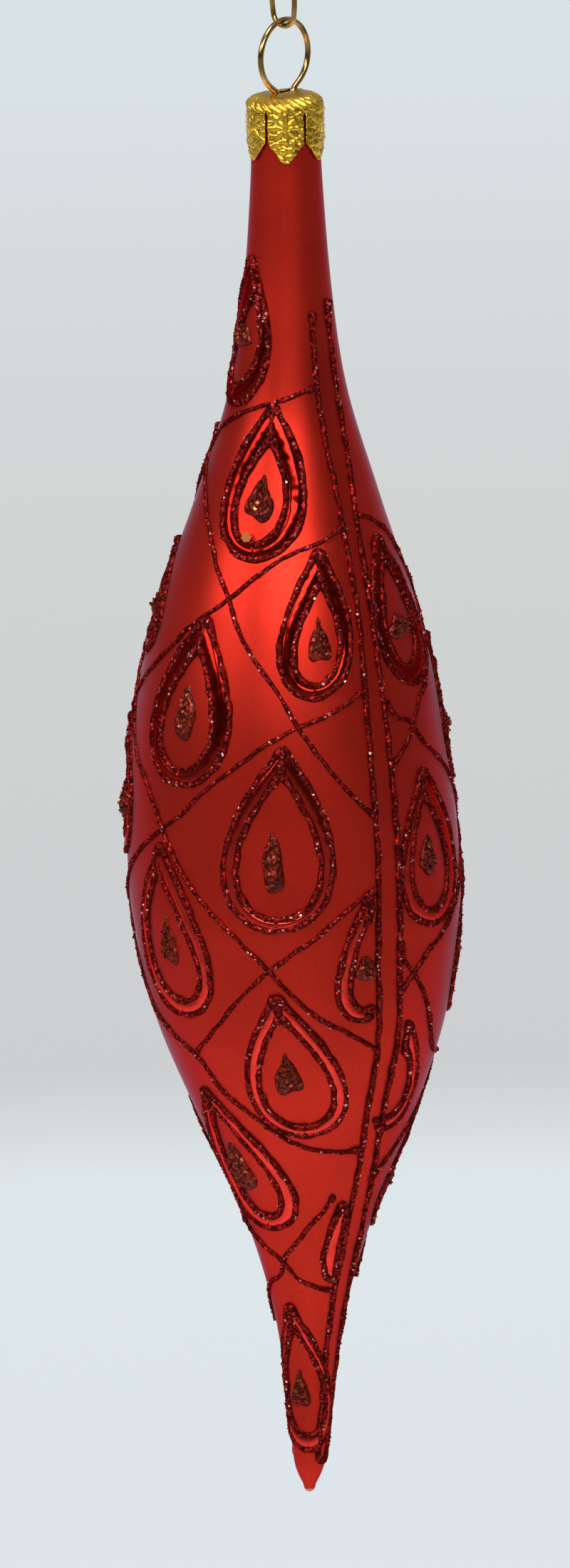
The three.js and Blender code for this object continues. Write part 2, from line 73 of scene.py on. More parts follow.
# Share of the way down, and how far the glass has drifted to the front's right in millimetres
DRIFT = [(0, 0), (0.06, 0), (0.21, -0.3), (0.42, -1.15), (0.61, -0.15), (0.75, 0.8), (0.89, 0.6), (1, 0.2)]

# The cap's dome: share of the radius, and drop below its top in millimetres
DOME = [(0, 0), (0.2, 0.1), (0.4, 0.3), (0.6, 0.58), (0.8, 0.92), (0.93, 1.22), (1, 1.75)]
# Half width and half depth of the slot in its top
SLOT = (2.33 * MM, 0.73 * MM)
# From its top to the shoulder that the camera's aim is counted from
SHOULDER_DROP = 0.65 * MM

# Azimuth of each pair's left stripe
STRIPES = {"front_stripes": 31.5, "back_stripes": 200.0}
# Percent down the glass, and how many degrees both stripes of a pair wander to the right there
WANDER = [
    (14, -1.3), (20, -1.2), (26.5, 2.3), (34, 2.7), (40, 0.4), (50, -0.5),
    (58, -2.0), (64, -0.2), (71, -0.5), (78, 3.0), (90, 2.0), (97, -1.5),
]
# Percent down the glass, and the pair's spacing there as a share of the usual spacing
SPREAD = [
    (14, 0.94), (22, 1.12), (27, 0.85), (34, 0.71), (42, 0.97), (50, 1.06),
    (58, 1.13), (66, 1.0), (72, 0.87), (83, 0.97), (97, 0.52),
]

# The floor's colour by its distance from the axis, as a share of the reach in metres
FLOOR_REACH = 2.4
FLOOR_TONES = [
    (0.0, (0.92, 0.93, 0.95)),
    (0.24, (0.78, 0.84, 0.88)),
    (0.338, (0.8, 0.87, 0.89)),
    (0.375, (0.67, 0.68, 0.69)),
    (0.6, (0.73, 0.735, 0.735)),
    (0.87, (0.8, 0.87, 0.9)),
]

# The photograph's size, and the pixel where the point aimed at lies
PHOTO_WIDTH, PHOTO_HEIGHT = 800, 2201
AIMED_X, AIMED_Y = 416.2, 1107.7

# Millimetres between the cross sections of a bead of glue, and loose flakes in a millimetre of it
BEAD_STEP = 0.22
FLAKE_CROWD = 1.6

# Where each kind of random draw starts counting its seeds
GLASS_SEED, CAP_SEED, STRIPE_SEED, LATTICE_SEED, OUTLINE_SEED, CENTRE_SEED = 5, 31, 100, 200, 1000, 3000

# Teardrops that were drawn with a loose hand, each with its number: outer outline, inner outline and
# sides drawn (-1 left, 1 right, 0 both). An outline is azimuth and percent down the glass at its middle,
# length in percent of the glass, half width and lean from middle to tip in degrees
FRONT_TEARDROPS = {
    1: ((-60.2, 15.5, 10.2, 39.5, 1.5), (-56.2, 16.1, 6.7, 24.5, 10.9), 0),
    2: ((-16.3, 25.4, 10.2, 30.0, 2.4), (-17.4, 26.0, 6.9, 17.9, 2.7), 0),
    3: ((13.6, 34.8, 9.7, 16.6, 3.2), (13.9, 35.4, 6.8, 10.4, 2.5), 0),
    4: ((60.0, 34.8, 10.2, 18.0, -2.0), (59.4, 34.8, 7.5, 11.3, 0.3), 0),
    5: ((-41.2, 40.3, 11.5, 19.6, 2.1), (-41.9, 40.8, 8.6, 13.0, 1.4), 0),
    6: ((-4.3, 49.3, 12.8, 19.4, 2.5), (-4.4, 49.8, 10.3, 15.0, 1.6), 0),
    7: ((56.8, 51.2, 11.0, 16.6, -0.3), (55.5, 51.5, 8.4, 11.0, -1.1), 0),
    8: ((-50.8, 56.7, 12.2, 17.2, -1.4), (-51.4, 57.1, 9.3, 12.7, -2.9), 0),
    9: ((-4.4, 66.0, 10.9, 19.9, -4.1), (-4.4, 66.4, 8.8, 15.4, -3.0), 0),
    10: ((25.1, 58.0, 9.3, 9.8, 2.0), (26.1, 58.4, 7.2, 7.0, 0.6), -1),
    11: ((45.8, 67.6, 8.1, 12.8, 0.1), (43.7, 68.2, 5.5, 11.5, 1.9), 1),
    12: ((-44.5, 73.9, 10.8, 26.5, -6.8), (-43.4, 74.0, 8.8, 16.6, -7.7), 0),
    13: ((26.3, 80.3, 6.1, 10.4, -0.4), (31.0, 80.6, 4.9, 1.5, 0.0), -1),
    14: ((-18.0, 90.9, 11.1, 62.0, -14.0), (-18.0, 91.1, 8.6, 50.0, -12.0), 0),
    16: ((-90.2, 34.4, 7.9, 15.5, -3.1), (-89.6, 34.2, 6.2, 8.5, -3.2), 0),
}
# The others, drawn alike: azimuth, percent down, length in percent and half width in degrees
OTHER_TEARDROPS = {
    15: (97, 75.5, 9.4, 22.3),
    17: (-90, 47.8, 9.8, 15.1),
    18: (98, 59.5, 10.8, 16.5),
    19: (98, 43, 10.3, 15.7),
    20: (137, 34.7, 9.8, 17.9),
    21: (137, 51.2, 10.8, 16.4),
    22: (137, 67.7, 10.3, 18.2),
    23: (175, 43, 10.3, 15.2),
    24: (175, 59.5, 10.8, 16),
    25: (-126, 40.6, 10.3, 15.8),
    26: (-126, 56.6, 10.3, 15.5),
}
# A large gold flake that fell on an outline, by its number: azimuth and percent down the glass
STRAY_FLAKES = {2: (-23.2, 29.1)}
# Centre drops of the loosely drawn teardrops: azimuth, percent down, length and half width in millimetres
CENTRES = {
    1: (-67.2, 15.8, 3.5, 2.4),
    2: (-18.3, 26.5, 6.4, 1.9),
    3: (14.0, 35.9, 6.2, 1.5),
    4: (58.6, 35.8, 3.5, 2.7),
    5: (-42.5, 41.0, 8.2, 1.7),
    6: (-6.6, 50.8, 9.3, 1.5),
    7: (54.3, 51.7, 6.1, 1.6),
    8: (-50.7, 57.4, 7.7, 1.5),
    9: (-6.5, 66.6, 6.8, 1.8),
    10: (25.1, 58.8, 3.9, 1.7),
    12: (-48.4, 74.5, 8.3, 2.3),
    14: (-23.5, 91.9, 6.1, 1.3),
    16: (-88.0, 34.8, 5.0, 1.6),
}

# Lattice lines of one field: azimuth and percent down the glass at each knot
LATTICES = {
    "left_lattice": [
        [(29, 19.2), (13, 19.5), (-6, 20.0), (-29, 20.5), (-56, 21.5), (-81, 23.0), (-98, 26), (-112, 29),
         (-124, 32.6), (-138, 38.5)],
        [(-97, 22.4), (-90, 24.3), (-66, 26.9), (-48, 29.5), (-38, 31.5), (-29, 33.2), (-22, 35.2),
         (-15, 36.8), (-4, 39.2), (4, 41.6), (11, 43.5), (22, 46.3), (31, 48.2)],
        [(-146, 27), (-124, 32.6), (-104, 37.2), (-84, 41.9), (-72, 45.1), (-63, 46.4), (-57, 47.8),
         (-51, 49.4), (-43, 51.8), (-34, 53.9), (-21, 56.4), (-10, 58.7), (-3, 60.4), (6, 62.1), (21, 63.9),
         (32, 65.3)],
        [(-148, 43), (-126, 48.8), (-104, 54), (-87, 59.2), (-74, 63.2), (-60, 64.8), (-47, 66.1),
         (-40, 68.2), (-28, 69.9), (-16, 71.3), (-3, 72.4), (17, 73.0), (31, 73.0)],
        [(34, 28.6), (20, 29.4), (4, 30.0), (-11, 31.1), (-29, 33.2), (-37, 34.1), (-51, 35.8), (-54, 36.4),
         (-80, 40.4), (-104, 44.6), (-126, 48.8), (-148, 55)],
        [(31, 39.5), (22, 40.4), (12, 41.1), (4, 41.6), (-7, 42.6), (-17, 44.0), (-31, 46.1), (-43, 48.3),
         (-51, 49.4), (-81, 54), (-104, 59.4), (-126, 64.2), (-148, 69.5)],
        [(30, 53.2), (23, 53.9), (15, 55.0), (7, 56.3), (-1, 57.4), (-10, 58.7), (-23, 61.1), (-32, 63.0),
         (-43, 64.9), (-48, 65.7)],
        [(-148, 58), (-126, 64.2), (-104, 69), (-84, 73), (-77, 76.3), (-74, 79.7)],
    ],
    "right_lattice": [
        [(47, 28.0), (58, 28.5), (70, 29.4), (77, 30.3), (97, 34.7), (137, 43), (176, 51.2), (196, 57)],
        [(41, 40.3), (43, 41.1), (47, 41.8), (53, 42.3), (59, 43.9), (67, 45.1), (80, 47.2), (98.5, 51.2),
         (137, 59.5), (176, 67.7), (194, 73.5)],
        [(39, 57.2), (41, 58.7), (46, 59.9), (54, 62.0), (64, 65.3), (70, 66.5), (97, 68.3), (135, 76.5),
         (176, 84), (187, 89)],
        [(135, 26.5), (176, 34.7), (196, 41)],
        [(41, 44.8), (48, 43.9), (54, 42.6), (62, 41.0), (70, 40.2), (97, 34.7), (135, 26.5), (160, 22.3),
         (190, 20.5)],
        [(40, 61.1), (43, 60.5), (50, 59.2), (54, 58.5), (62, 57.8), (98.5, 51.2), (137, 43), (176, 34.7),
         (196, 29)],
        [(45, 76), (70, 72.5), (97, 68.3), (137, 59.5), (176, 51.2), (197, 45)],
        [(80, 84), (135, 76.5), (176, 67.7), (196, 62)],
    ],
    "tail_lattice": [
        [(-147, 74.6), (-140, 78.2), (-96, 79.4), (-74, 79.7), (-64, 80.3), (-45, 81.3), (-28, 82.1),
         (-16, 83.1), (0, 83.7), (16, 84.1), (30, 84.3)],
        [(18, 76.5), (13, 77.6), (5, 78.5), (-11, 80.2), (-27, 81.7), (-37, 83.1), (-62, 84), (-110, 87.5)],
    ],
}


def length(name, description, millimetres):
    """A property that holds a length, its default given in millimetres."""
    return FloatProperty(
        name=name, description=description, default=millimetres * MM, min=0, unit="LENGTH", precision=5
    )


def degrees(name, description, value):
    """A property that holds an angle, its default given in degrees."""
    return FloatProperty(name=name, description=description, default=math.radians(value), subtype="ANGLE")


def colour(name, description, value):
    """A property that holds a linear colour."""
    return FloatVectorProperty(
        name=name, description=description, default=value, size=3, min=0, max=1, subtype="COLOR"
    )


class GlassProperties(PropertyGroup):
    """The blown drop."""

    neck_length: length("Neck length", "From the lip to where the glass swells", 12)
    lip_radius: length("Lip radius", "Outside radius at the lip", 4.85)
    neck_radius: length("Neck radius", "Outside radius at the foot of the neck", 5.3)
    belly_radius: length("Belly radius", "Greatest outside radius", 24.5)
    belly_depth: length("Belly depth", "From the lip to the greatest radius", 114)
    tail_radius: length("Tail radius", "Radius above the tip", 3.3)
    tail_length: length("Tail length", "From the narrow tail to the tip's end", 15.1)
    nib_radius: length("Nib radius", "Radius where the tip starts", 2.55)
    nib_length: length("Nib length", "Length of the drawn-out tip", 7)
    wall: length("Wall", "Thickness of the glass", 0.8)
    hollow_end: length("Hollow end", "Solid glass below the hollow", 9)
    satin_red: colour("Satin red", "Colour of the matt metallic coat", (0.69, 0.031, 0.016))
    clear_tip: colour("Clear tip", "Colour of the bare glass at the very tip", (0.72, 0.3, 0.28))


class GlitterProperties(PropertyGroup):
    """The drawing in glitter glue."""

    stripe_width: length("Stripe width", "Width of a long stripe", 0.85)
    stripe_height: length("Stripe height", "How far a stripe stands up", 0.55)
    stripe_spacing: length("Stripe spacing", "Between the two stripes of a pair", 3.4)
    stripe_start: length("Stripe start", "From the lip to the left stripes' free ends", 29.7)
    stripe_lead: length("Stripe lead", "How much higher the right stripes start", 1.4)
    stripe_foot: length("Stripe foot", "From the tip to where the stripes turn", 6.4)
    stripe_sag: length("Stripe sag", "How far the turn at the foot hangs down", 1.2)
    lattice_width: length("Lattice width", "Width of a lattice line", 0.66)
    lattice_height: length("Lattice height", "How far a lattice line stands up", 0.42)
    outline_width: length("Outline width", "Width of a teardrop's outline", 0.95)
    outline_height: length("Outline height", "How far an outline stands up", 0.52)
    centre_height: length("Centre height", "How far a centre drop stands up", 0.8)
    centre_lumps: length("Centre lumps", "How far the lumps on a centre drop stand out", 0.34)
    flake: length("Flake", "Width of a glitter flake", 0.3)
    coarse_flake: length("Coarse flake", "Width of a flake in a centre drop", 0.58)
    stray_flake: length("Stray flake", "Width of the large gold flake", 1.3)
    dark_glue: colour("Dark glue", "Colour of the glue between the flakes", (0.1, 0.007, 0.005))
    red_flake: colour("Red flake", "Colour of most flakes", (0.3, 0.014, 0.014))
    # Painted glints: a few flakes are coloured pale to stand in for sparkle.
    painted_glint_flake: colour("Pale flake", "Colour of the flakes that glint", (1.0, 0.55, 0.5))
    brown_glue: colour("Brown glue", "Colour of the centre drops", (0.13, 0.015, 0.006))
    gold_flake: colour("Gold flake", "Colour of the coarse gold flakes", (1.0, 0.29, 0.07))
    # Both lacquer colours are painted light: the first is painted shade for the upper bands, the second a
    # painted reflection of the pale floor on the lower ones.
    lacquer: colour("Lacquer", "Colour of the glossy band where it is thick", (0.32, 0.011, 0.006))
    floor_shine_lacquer: colour("Thin lacquer", "Colour of the glossy band where it is thin", (1.0, 0.055, 0.038))


class MetalProperties(PropertyGroup):
    """The stamped cap and the two bent wires."""

    cap_radius: length("Cap radius", "Outside radius of the cap", 5.35)
    cap_sheet: length("Cap sheet", "Thickness of the stamped sheet", 0.3)
    cap_drop: length("Cap drop", "From the dome's top to the tabs' tips", 9.4)
    valley_drop: length("Valley drop", "From the dome's top to where two tabs part", 6.5)
    slit_drop: length("Slit drop", "From the dome's top to the slits' tops", 1.95)
    slit_width: length("Slit width", "Gap between two tabs", 0.4)
    tab_tip: length("Tab tip", "Width of a tab at its tip", 0.7)
    tabs: IntProperty(name="Tabs", description="Tabs round the cap", default=6, min=3)
    flutes: IntProperty(name="Flutes", description="Flutes round the dome's edge", default=24, min=6)
    flute_height: length("Flute height", "How far a flute stands out", 0.48)
    star_drop: length("Star drop", "From the dome's top to a star's middle", 4.2)
    hanger_wire: length("Hanger wire", "Thickness of the hanger's wire", 0.86)
    ring_radius: length("Ring radius", "Radius of the hanger's ring", 5.25)
    hook_wire: length("Hook wire", "Thickness of the hook's wire", 0.8)
    sheet_gold: colour("Sheet gold", "Colour of the cap", (1.0, 0.6, 0.065))
    wire_gold: colour("Wire gold", "Colour of the wires", (0.62, 0.37, 0.13))


class StudioProperties(PropertyGroup):
    """Camera, lamps and floor."""

    elevation: degrees("Elevation", "How far the camera looks down", 14.5)
    roll: degrees("Roll", "Camera's turn about its line of sight", -0.956)
    distance: length("Distance", "From the camera to the bauble", 1700)
    aim_drop: length("Aim drop", "From the cap's shoulder down to the point aimed at", 104)
    lens: FloatProperty(name="Lens", description="Focal length for the 36 mm side", default=264.2)
    floor_drop: length("Floor drop", "From the tip down to the floor", 190)
    own_tone: FloatProperty(name="Own tone", description="How far the floor glows by itself", default=0.8)
    backdrop: colour("Backdrop", "Colour of the space behind", (0.76, 0.81, 0.84))


# Shapes worked out as arrays


def smooth_through(stations):
    """A curve through (x, y) stations, flat beyond its ends. Between two stations it is the cubic whose
    slope at each one is that of the chord between its two neighbours."""
    xs, ys = np.array(stations, float).T
    before = np.r_[0, np.arange(len(xs) - 1)]
    after = np.r_[np.arange(1, len(xs)), len(xs) - 1]
    slopes = (ys[after] - ys[before]) / (xs[after] - xs[before])

    def curve(x):
        x = np.clip(x, xs[0], xs[-1])
        i = np.clip(np.searchsorted(xs, x, side="right") - 1, 0, len(xs) - 2)
        run = xs[i + 1] - xs[i]
        t = (x - xs[i]) / run
        lift = (ys[i + 1] - ys[i]) * t * t * (3 - 2 * t)
        swing = t * (1 - t) * run
        return ys[i] + lift + swing * (slopes[i] * (1 - t) - slopes[i + 1] * t)

    return curve


def through_points(knots, count):
    """count points on the centripetal spline through the knots: each stretch blends the straight lines
    through its four nearest knots, spaced by the square root of their distances."""
    knots = np.array(knots, float)
    p = np.concatenate([[2 * knots[0] - knots[1]], knots, [2 * knots[-1] - knots[-2]]])
    gaps = np.sqrt(np.linalg.norm(np.diff(p, axis=0), axis=1))
    t = np.concatenate([[0], np.cumsum(gaps)])
    u = np.linspace(t[1], t[-2], count)
    i = np.clip(np.searchsorted(t, u, side="right") - 1, 1, len(knots) - 1)

    def between(a, b, first, second):
        share = ((u - t[first]) / (t[second] - t[first]))[:, None]
        return a * (1 - share) + b * share

    a1 = between(p[i - 1], p[i], i - 1, i)
    a2 = between(p[i], p[i + 1], i, i + 1)
    a3 = between(p[i + 1], p[i + 2], i + 1, i + 2)
    return between(between(a1, a2, i - 1, i + 1), between(a2, a3, i, i + 2), i, i + 1)


def distances(points):
    """How far each point lies along the line through them, from the first."""
    return np.r_[0, np.cumsum(np.linalg.norm(np.diff(points, axis=0), axis=1))]


def evenly(points, step, values=None):
    """The points, or the values that go with them, resampled so that neighbours lie about a step apart."""
    run = distances(points)
    spots = np.linspace(0, run[-1], max(4, round(run[-1] / step) + 1))
    values = points if values is None else values
    return np.stack([np.interp(spots, run, column) for column in values.T], axis=-1)


def unit(vectors):
    """Vectors divided by their lengths."""
    return vectors / np.maximum(np.linalg.norm(vectors, axis=-1, keepdims=True), 1e-12)


def compass(turn):
    """Level unit vectors: the sine of a turn along X and its cosine along -Y."""
    return np.stack([np.sin(turn), -np.cos(turn), np.zeros_like(turn)], axis=-1)


def lumps(points, size, seed):
    """A smooth random height from -1 to 1 at each point: the mean of a dozen waves of about that size,
    each in its own direction."""
    rng = np.random.default_rng(seed)
    dozen = 12
    waves = rng.normal(size=(dozen, 3))
    waves *= (2 * math.pi / size / np.linalg.norm(waves, axis=1) * rng.uniform(0.7, 1.4, dozen))[:, None]
    shifts = rng.uniform(0, 2 * math.pi, dozen)
    return np.clip(np.cos(points @ waves.T + shifts).mean(axis=-1) * 2.2, -1, 1)


def glass_radius(depth):
    """The glass's outside radius at a depth below the lip: the smooth curve through the stations of neck,
    swell, belly, taper, tail and nib."""
    glass = bpy.context.scene.bauble_glass
    neck, belly = glass.neck_length, glass.belly_depth
    tail, nib = GLASS_LENGTH - glass.tail_length, GLASS_LENGTH - glass.nib_length

    def stretch(shares, start, end, narrow, wide):
        return [(start + way * (end - start), narrow + share * (wide - narrow)) for way, share in shares]

    stations = [
        (0, glass.lip_radius),
        (neck, glass.neck_radius),
        *stretch(SWELL, neck, belly, glass.neck_radius, glass.belly_radius),
        (belly, glass.belly_radius),
        *stretch(TAPER, belly, tail, glass.tail_radius, glass.belly_radius),
        (tail, glass.tail_radius),
        (nib, glass.nib_radius),
        *stretch(NIB, nib, GLASS_LENGTH, 0, glass.nib_radius),
    ]
    return smooth_through(stations)(depth)


def glass_drift(depth):
    """How far the glass's middle lies off its axis at a depth: the drift curve, to the front's right."""
    shift = smooth_through(DRIFT)(depth / GLASS_LENGTH) * MM
    return shift[..., None] * compass(np.radians(FRONT + 90))


def on_glass(azimuth, depth, lift=0.0):
    """Points of the glass's outside and their outward normals. A point is the radius at its depth carried
    out along its azimuth, counted from the front, then shifted by the drift and lifted along the normal,
    which leans by the outline's slope."""
    outward = compass(np.radians(FRONT + azimuth))
    near = 0.5 * MM
    slope = (glass_radius(depth + near) - glass_radius(depth - near)) / (2 * near)
    normal = outward.copy()
    normal[..., 2] = slope
    normal = unit(normal)
    points = outward * glass_radius(depth)[..., None] + glass_drift(depth)
    points[..., 2] = LIP - depth
    return points + normal * np.asarray(lift)[..., None], normal


def grid_faces(rows, columns, wrap=True):
    """The quads of a grid of rows by columns, joined round its columns where wrap is set."""
    row = np.arange(rows - 1)[:, None]
    column = np.arange(columns if wrap else columns - 1)[None, :]
    a = row * columns + column
    b = row * columns + (column + 1) % columns
    return np.stack([a, b, b + columns, a + columns], axis=-1).reshape(-1, 4)


def wire_shell(path, radius):
    """A round wire bent in a plane: at each point of its path a circle square to the path, with both ends
    drawn in over a quarter circle."""
    path = evenly(path, 0.2 * MM)
    along = unit(np.gradient(path, axis=0))
    run = distances(path)
    end = np.clip(np.minimum(run, run[-1] - run) / radius, 0, 1)
    reach = radius * np.sqrt(1 - (1 - end) ** 2)
    flat = unit(np.cross(path[-1] - path[0], path[len(path) // 3] - path[0]))
    across = unit(np.cross(along, np.broadcast_to(flat, along.shape)))
    angle = np.linspace(0, 2 * math.pi, 20, endpoint=False)
    ring = across[:, None] * np.cos(angle)[:, None] + flat * np.sin(angle)[:, None]
    points = path[:, None] + ring * reach[:, None, None]
    return points.reshape(-1, 3), grid_faces(len(path), len(angle))


def bead_shell(azimuth, depth, width, height, seed):
    """A bead of glue along a line on the glass, then the points and normals of its open side, where flakes
    can lie. Across the line it is nearly half an ellipse, closed underneath. Its width and height waver
    slowly along the line and swell to a clot before each end, both ends are drawn in, and lumps stand on
    it."""
    middle, up = on_glass(azimuth, depth)
    along = unit(np.gradient(middle, axis=0))
    across = unit(np.cross(along, up))
    run = distances(middle)
    from_end = np.minimum(run, run[-1] - run)
    end = np.clip(from_end / (0.7 * width), 0, 1)
    taper = np.sqrt(np.maximum(1 - (1 - end) ** 2, 0))
    waver = 1 + 0.16 * lumps(middle, 5 * MM, seed) + 0.1 * lumps(middle, 1.6 * MM, seed + 1)
    waver = waver * (1 + 0.45 * np.exp(-((from_end / (1.4 * width) - 0.5) ** 2)))
    drift = 0.14 * width * lumps(middle, 3.2 * MM, seed + 2)
    angle = np.linspace(0, math.pi, 11)
    side = np.cos(angle) * width / 2
    top = np.sin(angle) ** 0.8 * height
    scale = (taper * waver)[:, None]
    sunk = 0.12 * MM
    points = (
        (middle - sunk * up)[:, None]
        + across[:, None] * (side * scale + drift[:, None] * taper[:, None])[..., None]
        + up[:, None] * ((top + sunk) * scale)[..., None]
    )
    sideways, upward = (np.cos(angle) / width)[:, None], (np.sin(angle) / height)[:, None]
    outward = unit(across[:, None] * sideways + up[:, None] * upward)
    grain = lumps(points, 0.55 * MM, seed + 3) + 0.8 * lumps(points, 0.3 * MM, seed + 4)
    points = points + outward * (0.09 * height * grain * taper[:, None] * np.sin(angle))[..., None]
    shell = points.reshape(-1, 3), grid_faces(len(middle), len(angle))
    whole, open_side = taper > 0.7, slice(2, 9)
    return shell, (points[whole][:, open_side].reshape(-1, 3), outward[whole][:, open_side].reshape(-1, 3))


def flake_shell(spots, count, size, tilt, seed):
    """Thin six-sided flakes strewn over the spots. Each corner is a sixth of a turn from the last about the
    flake's own axis, which leans at random from the surface's normal, and the plate is a tenth as thick as
    it is wide. Also gives each corner's tone, a random number for its flake."""
    rng = np.random.default_rng(seed)
    points, normals = spots
    chosen = rng.integers(0, len(points), count)
    axis = unit(normals[chosen] + tilt * rng.normal(size=(count, 3)))
    side = unit(np.cross(axis, rng.normal(size=(count, 3))))
    other = np.cross(axis, side)
    width = size * rng.uniform(0.6, 1.25, count) / 2
    angle = np.arange(6) * math.pi / 3
    rim = side[:, None] * np.cos(angle)[:, None] + other[:, None] * np.sin(angle)[:, None]
    rim = (points[chosen] + normals[chosen] * 0.15 * size)[:, None] + rim * width[:, None, None]
    thick = axis[:, None] * 0.05 * size
    corners = np.concatenate([rim - thick, rim + thick], axis=1)
    sides = [[i, (i + 1) % 6, (i + 1) % 6 + 6, i + 6] for i in range(6)]
    plate = np.array([[3, 2, 1, 0], [5, 4, 3, 0], [6, 7, 8, 9], [6, 9, 10, 11], *sides])
    quads = (plate[None] + 12 * np.arange(count)[:, None, None]).reshape(-1, 4)
    return (corners.reshape(-1, 3), quads), np.repeat(rng.random(count), 12)


# Meshes and pieces


def new_object(name, data):
    """An object that shows the data in the scene."""
    made = bpy.data.objects.new(name, data)
    bpy.context.scene.collection.objects.link(made)
    return made


def mesh_piece(name, shells, materials, node, body="glass"):
    """One piece from shells of (points, quads), each with the place of its material and its corners' tone.
    The first material's faces are smooth, and the second's, the flakes', are flat. The piece stands for a
    CAD node where one is given, and rides on a body."""
    points, quads, kinds, tones = [], [], [], []
    start = 0
    for (shell_points, shell_quads), kind, tone in shells:
        points.append(shell_points)
        quads.append(shell_quads + start)
        kinds.append(np.full(len(shell_quads), kind))
        tones.append(np.broadcast_to(tone, len(shell_points)))
        start += len(shell_points)
    points, quads, kinds, tones = map(np.concatenate, (points, quads, kinds, tones))
    mesh = bpy.data.meshes.new(name)
    mesh.vertices.add(len(points))
    mesh.vertices.foreach_set("co", points.astype(np.float32).ravel())
    mesh.loops.add(quads.size)
    mesh.loops.foreach_set("vertex_index", quads.astype(np.int32).ravel())
    mesh.polygons.add(len(quads))
    mesh.polygons.foreach_set("loop_start", np.arange(0, quads.size, 4, dtype=np.int32))
    mesh.polygons.foreach_set("material_index", kinds.astype(np.int32))
    mesh.polygons.foreach_set("use_smooth", kinds == 0)
    mesh.update(calc_edges=True)
    mesh.attributes.new("tone", "FLOAT", "POINT").data.foreach_set("value", tones.astype(np.float32))
    close_doubles(mesh)
    for material in materials:
        mesh.materials.append(material)
    piece = new_object(name, mesh)
    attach(piece, body)
    if node:
        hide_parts(node)
    return piece


def close_doubles(mesh):
    """Merges the corners that fall on one another at poles and seams, and drops faces without area."""
    work = bmesh.new()
    work.from_mesh(mesh)
    bmesh.ops.remove_doubles(work, verts=work.verts, dist=1e-7)
    bmesh.ops.dissolve_degenerate(work, edges=work.edges, dist=1e-8)
    work.to_mesh(mesh)
    work.free()
    mesh.update()


# Nodes


def node_adder(owner):
    """Empties the node tree of a material or world, and gives a function that adds a node to it, sets the
    node up and joins its inputs."""
    owner.use_nodes = True
    tree = owner.node_tree
    tree.nodes.clear()

    def add(kind, inputs=None, **settings):
        node = tree.nodes.new(kind)
        for key, value in settings.items():
            setattr(node, key, value)
        for key, value in (inputs or {}).items():
            if isinstance(value, NodeSocket):
                tree.links.new(value, node.inputs[key])
            else:
                node.inputs[key].default_value = value
        return node

    return add


def finish(name, look, *values):
    """The material of that name. When it is first asked for it is made: its look, a function given the
    values, adds nodes and gives the shader's inputs."""
    found = bpy.data.materials.get(name)
    if found:
        return found
    material = bpy.data.materials.new(name)
    add = node_adder(material)
    shader = add("ShaderNodeBsdfPrincipled", look(add, *values))
    add("ShaderNodeOutputMaterial", {"Surface": shader.outputs["BSDF"]})
    return material


def object_place(add):
    """The place in the object's own frame."""
    return add("ShaderNodeTexCoord").outputs["Object"]


def height_of(add, place):
    """The height of a place."""
    return add("ShaderNodeSeparateXYZ", {"Vector": place}).outputs["Z"]


def noise(add, place, scale, detail, roughness=0.5):
    """Cloudy noise."""
    inputs = {"Vector": place, "Scale": scale, "Detail": detail, "Roughness": roughness}
    return add("ShaderNodeTexNoise", inputs).outputs["Fac"]


def bump(add, height, strength, distance):
    """The normal bent by a height."""
    inputs = {"Height": height, "Strength": strength, "Distance": distance}
    return add("ShaderNodeBump", inputs).outputs["Normal"]


def tone_of(add):
    """Each corner's tone."""
    return add("ShaderNodeAttribute", attribute_name="tone", attribute_type="GEOMETRY").outputs["Fac"]


def ramp(add, factor, stops):
    """A colour ramp over a factor, with its stops as (place, colour)."""
    node = add("ShaderNodeValToRGB", {"Fac": factor})
    elements = node.color_ramp.elements
    while len(elements) < len(stops):
        elements.new(0.5)
    for element, (place, value) in zip(elements, stops):
        element.position = place
        element.color = (*value, 1)
    return node.outputs["Color"]


def level(add, factor, low, high, start=0.0, end=1.0, curve="LINEAR"):
    """A number that goes from low to high as the factor goes from start to end."""
    inputs = {"Value": factor, "From Min": start, "From Max": end, "To Min": low, "To Max": high}
    return add("ShaderNodeMapRange", inputs, interpolation_type=curve).outputs["Result"]


def blended(add, share, first, second, way="MIX"):
    """Two colours blended by a share, in the sockets that the Mix node keeps for colours."""
    inputs = {0: share, 6: first, 7: second}
    return add("ShaderNodeMix", inputs, data_type="RGBA", blend_type=way).outputs[2]


def maths(add, operation, *values):
    """The result of an operation on numbers."""
    return add("ShaderNodeMath", dict(enumerate(values)), operation=operation).outputs["Value"]


def vector_maths(add, operation, *values, result="Vector"):
    """The result of an operation on vectors."""
    return add("ShaderNodeVectorMath", dict(enumerate(values)), operation=operation).outputs[result]


def shade(value, factor):
    """A colour made lighter or darker."""
    return tuple(min(1.0, channel * factor) for channel in value)


# Finishes


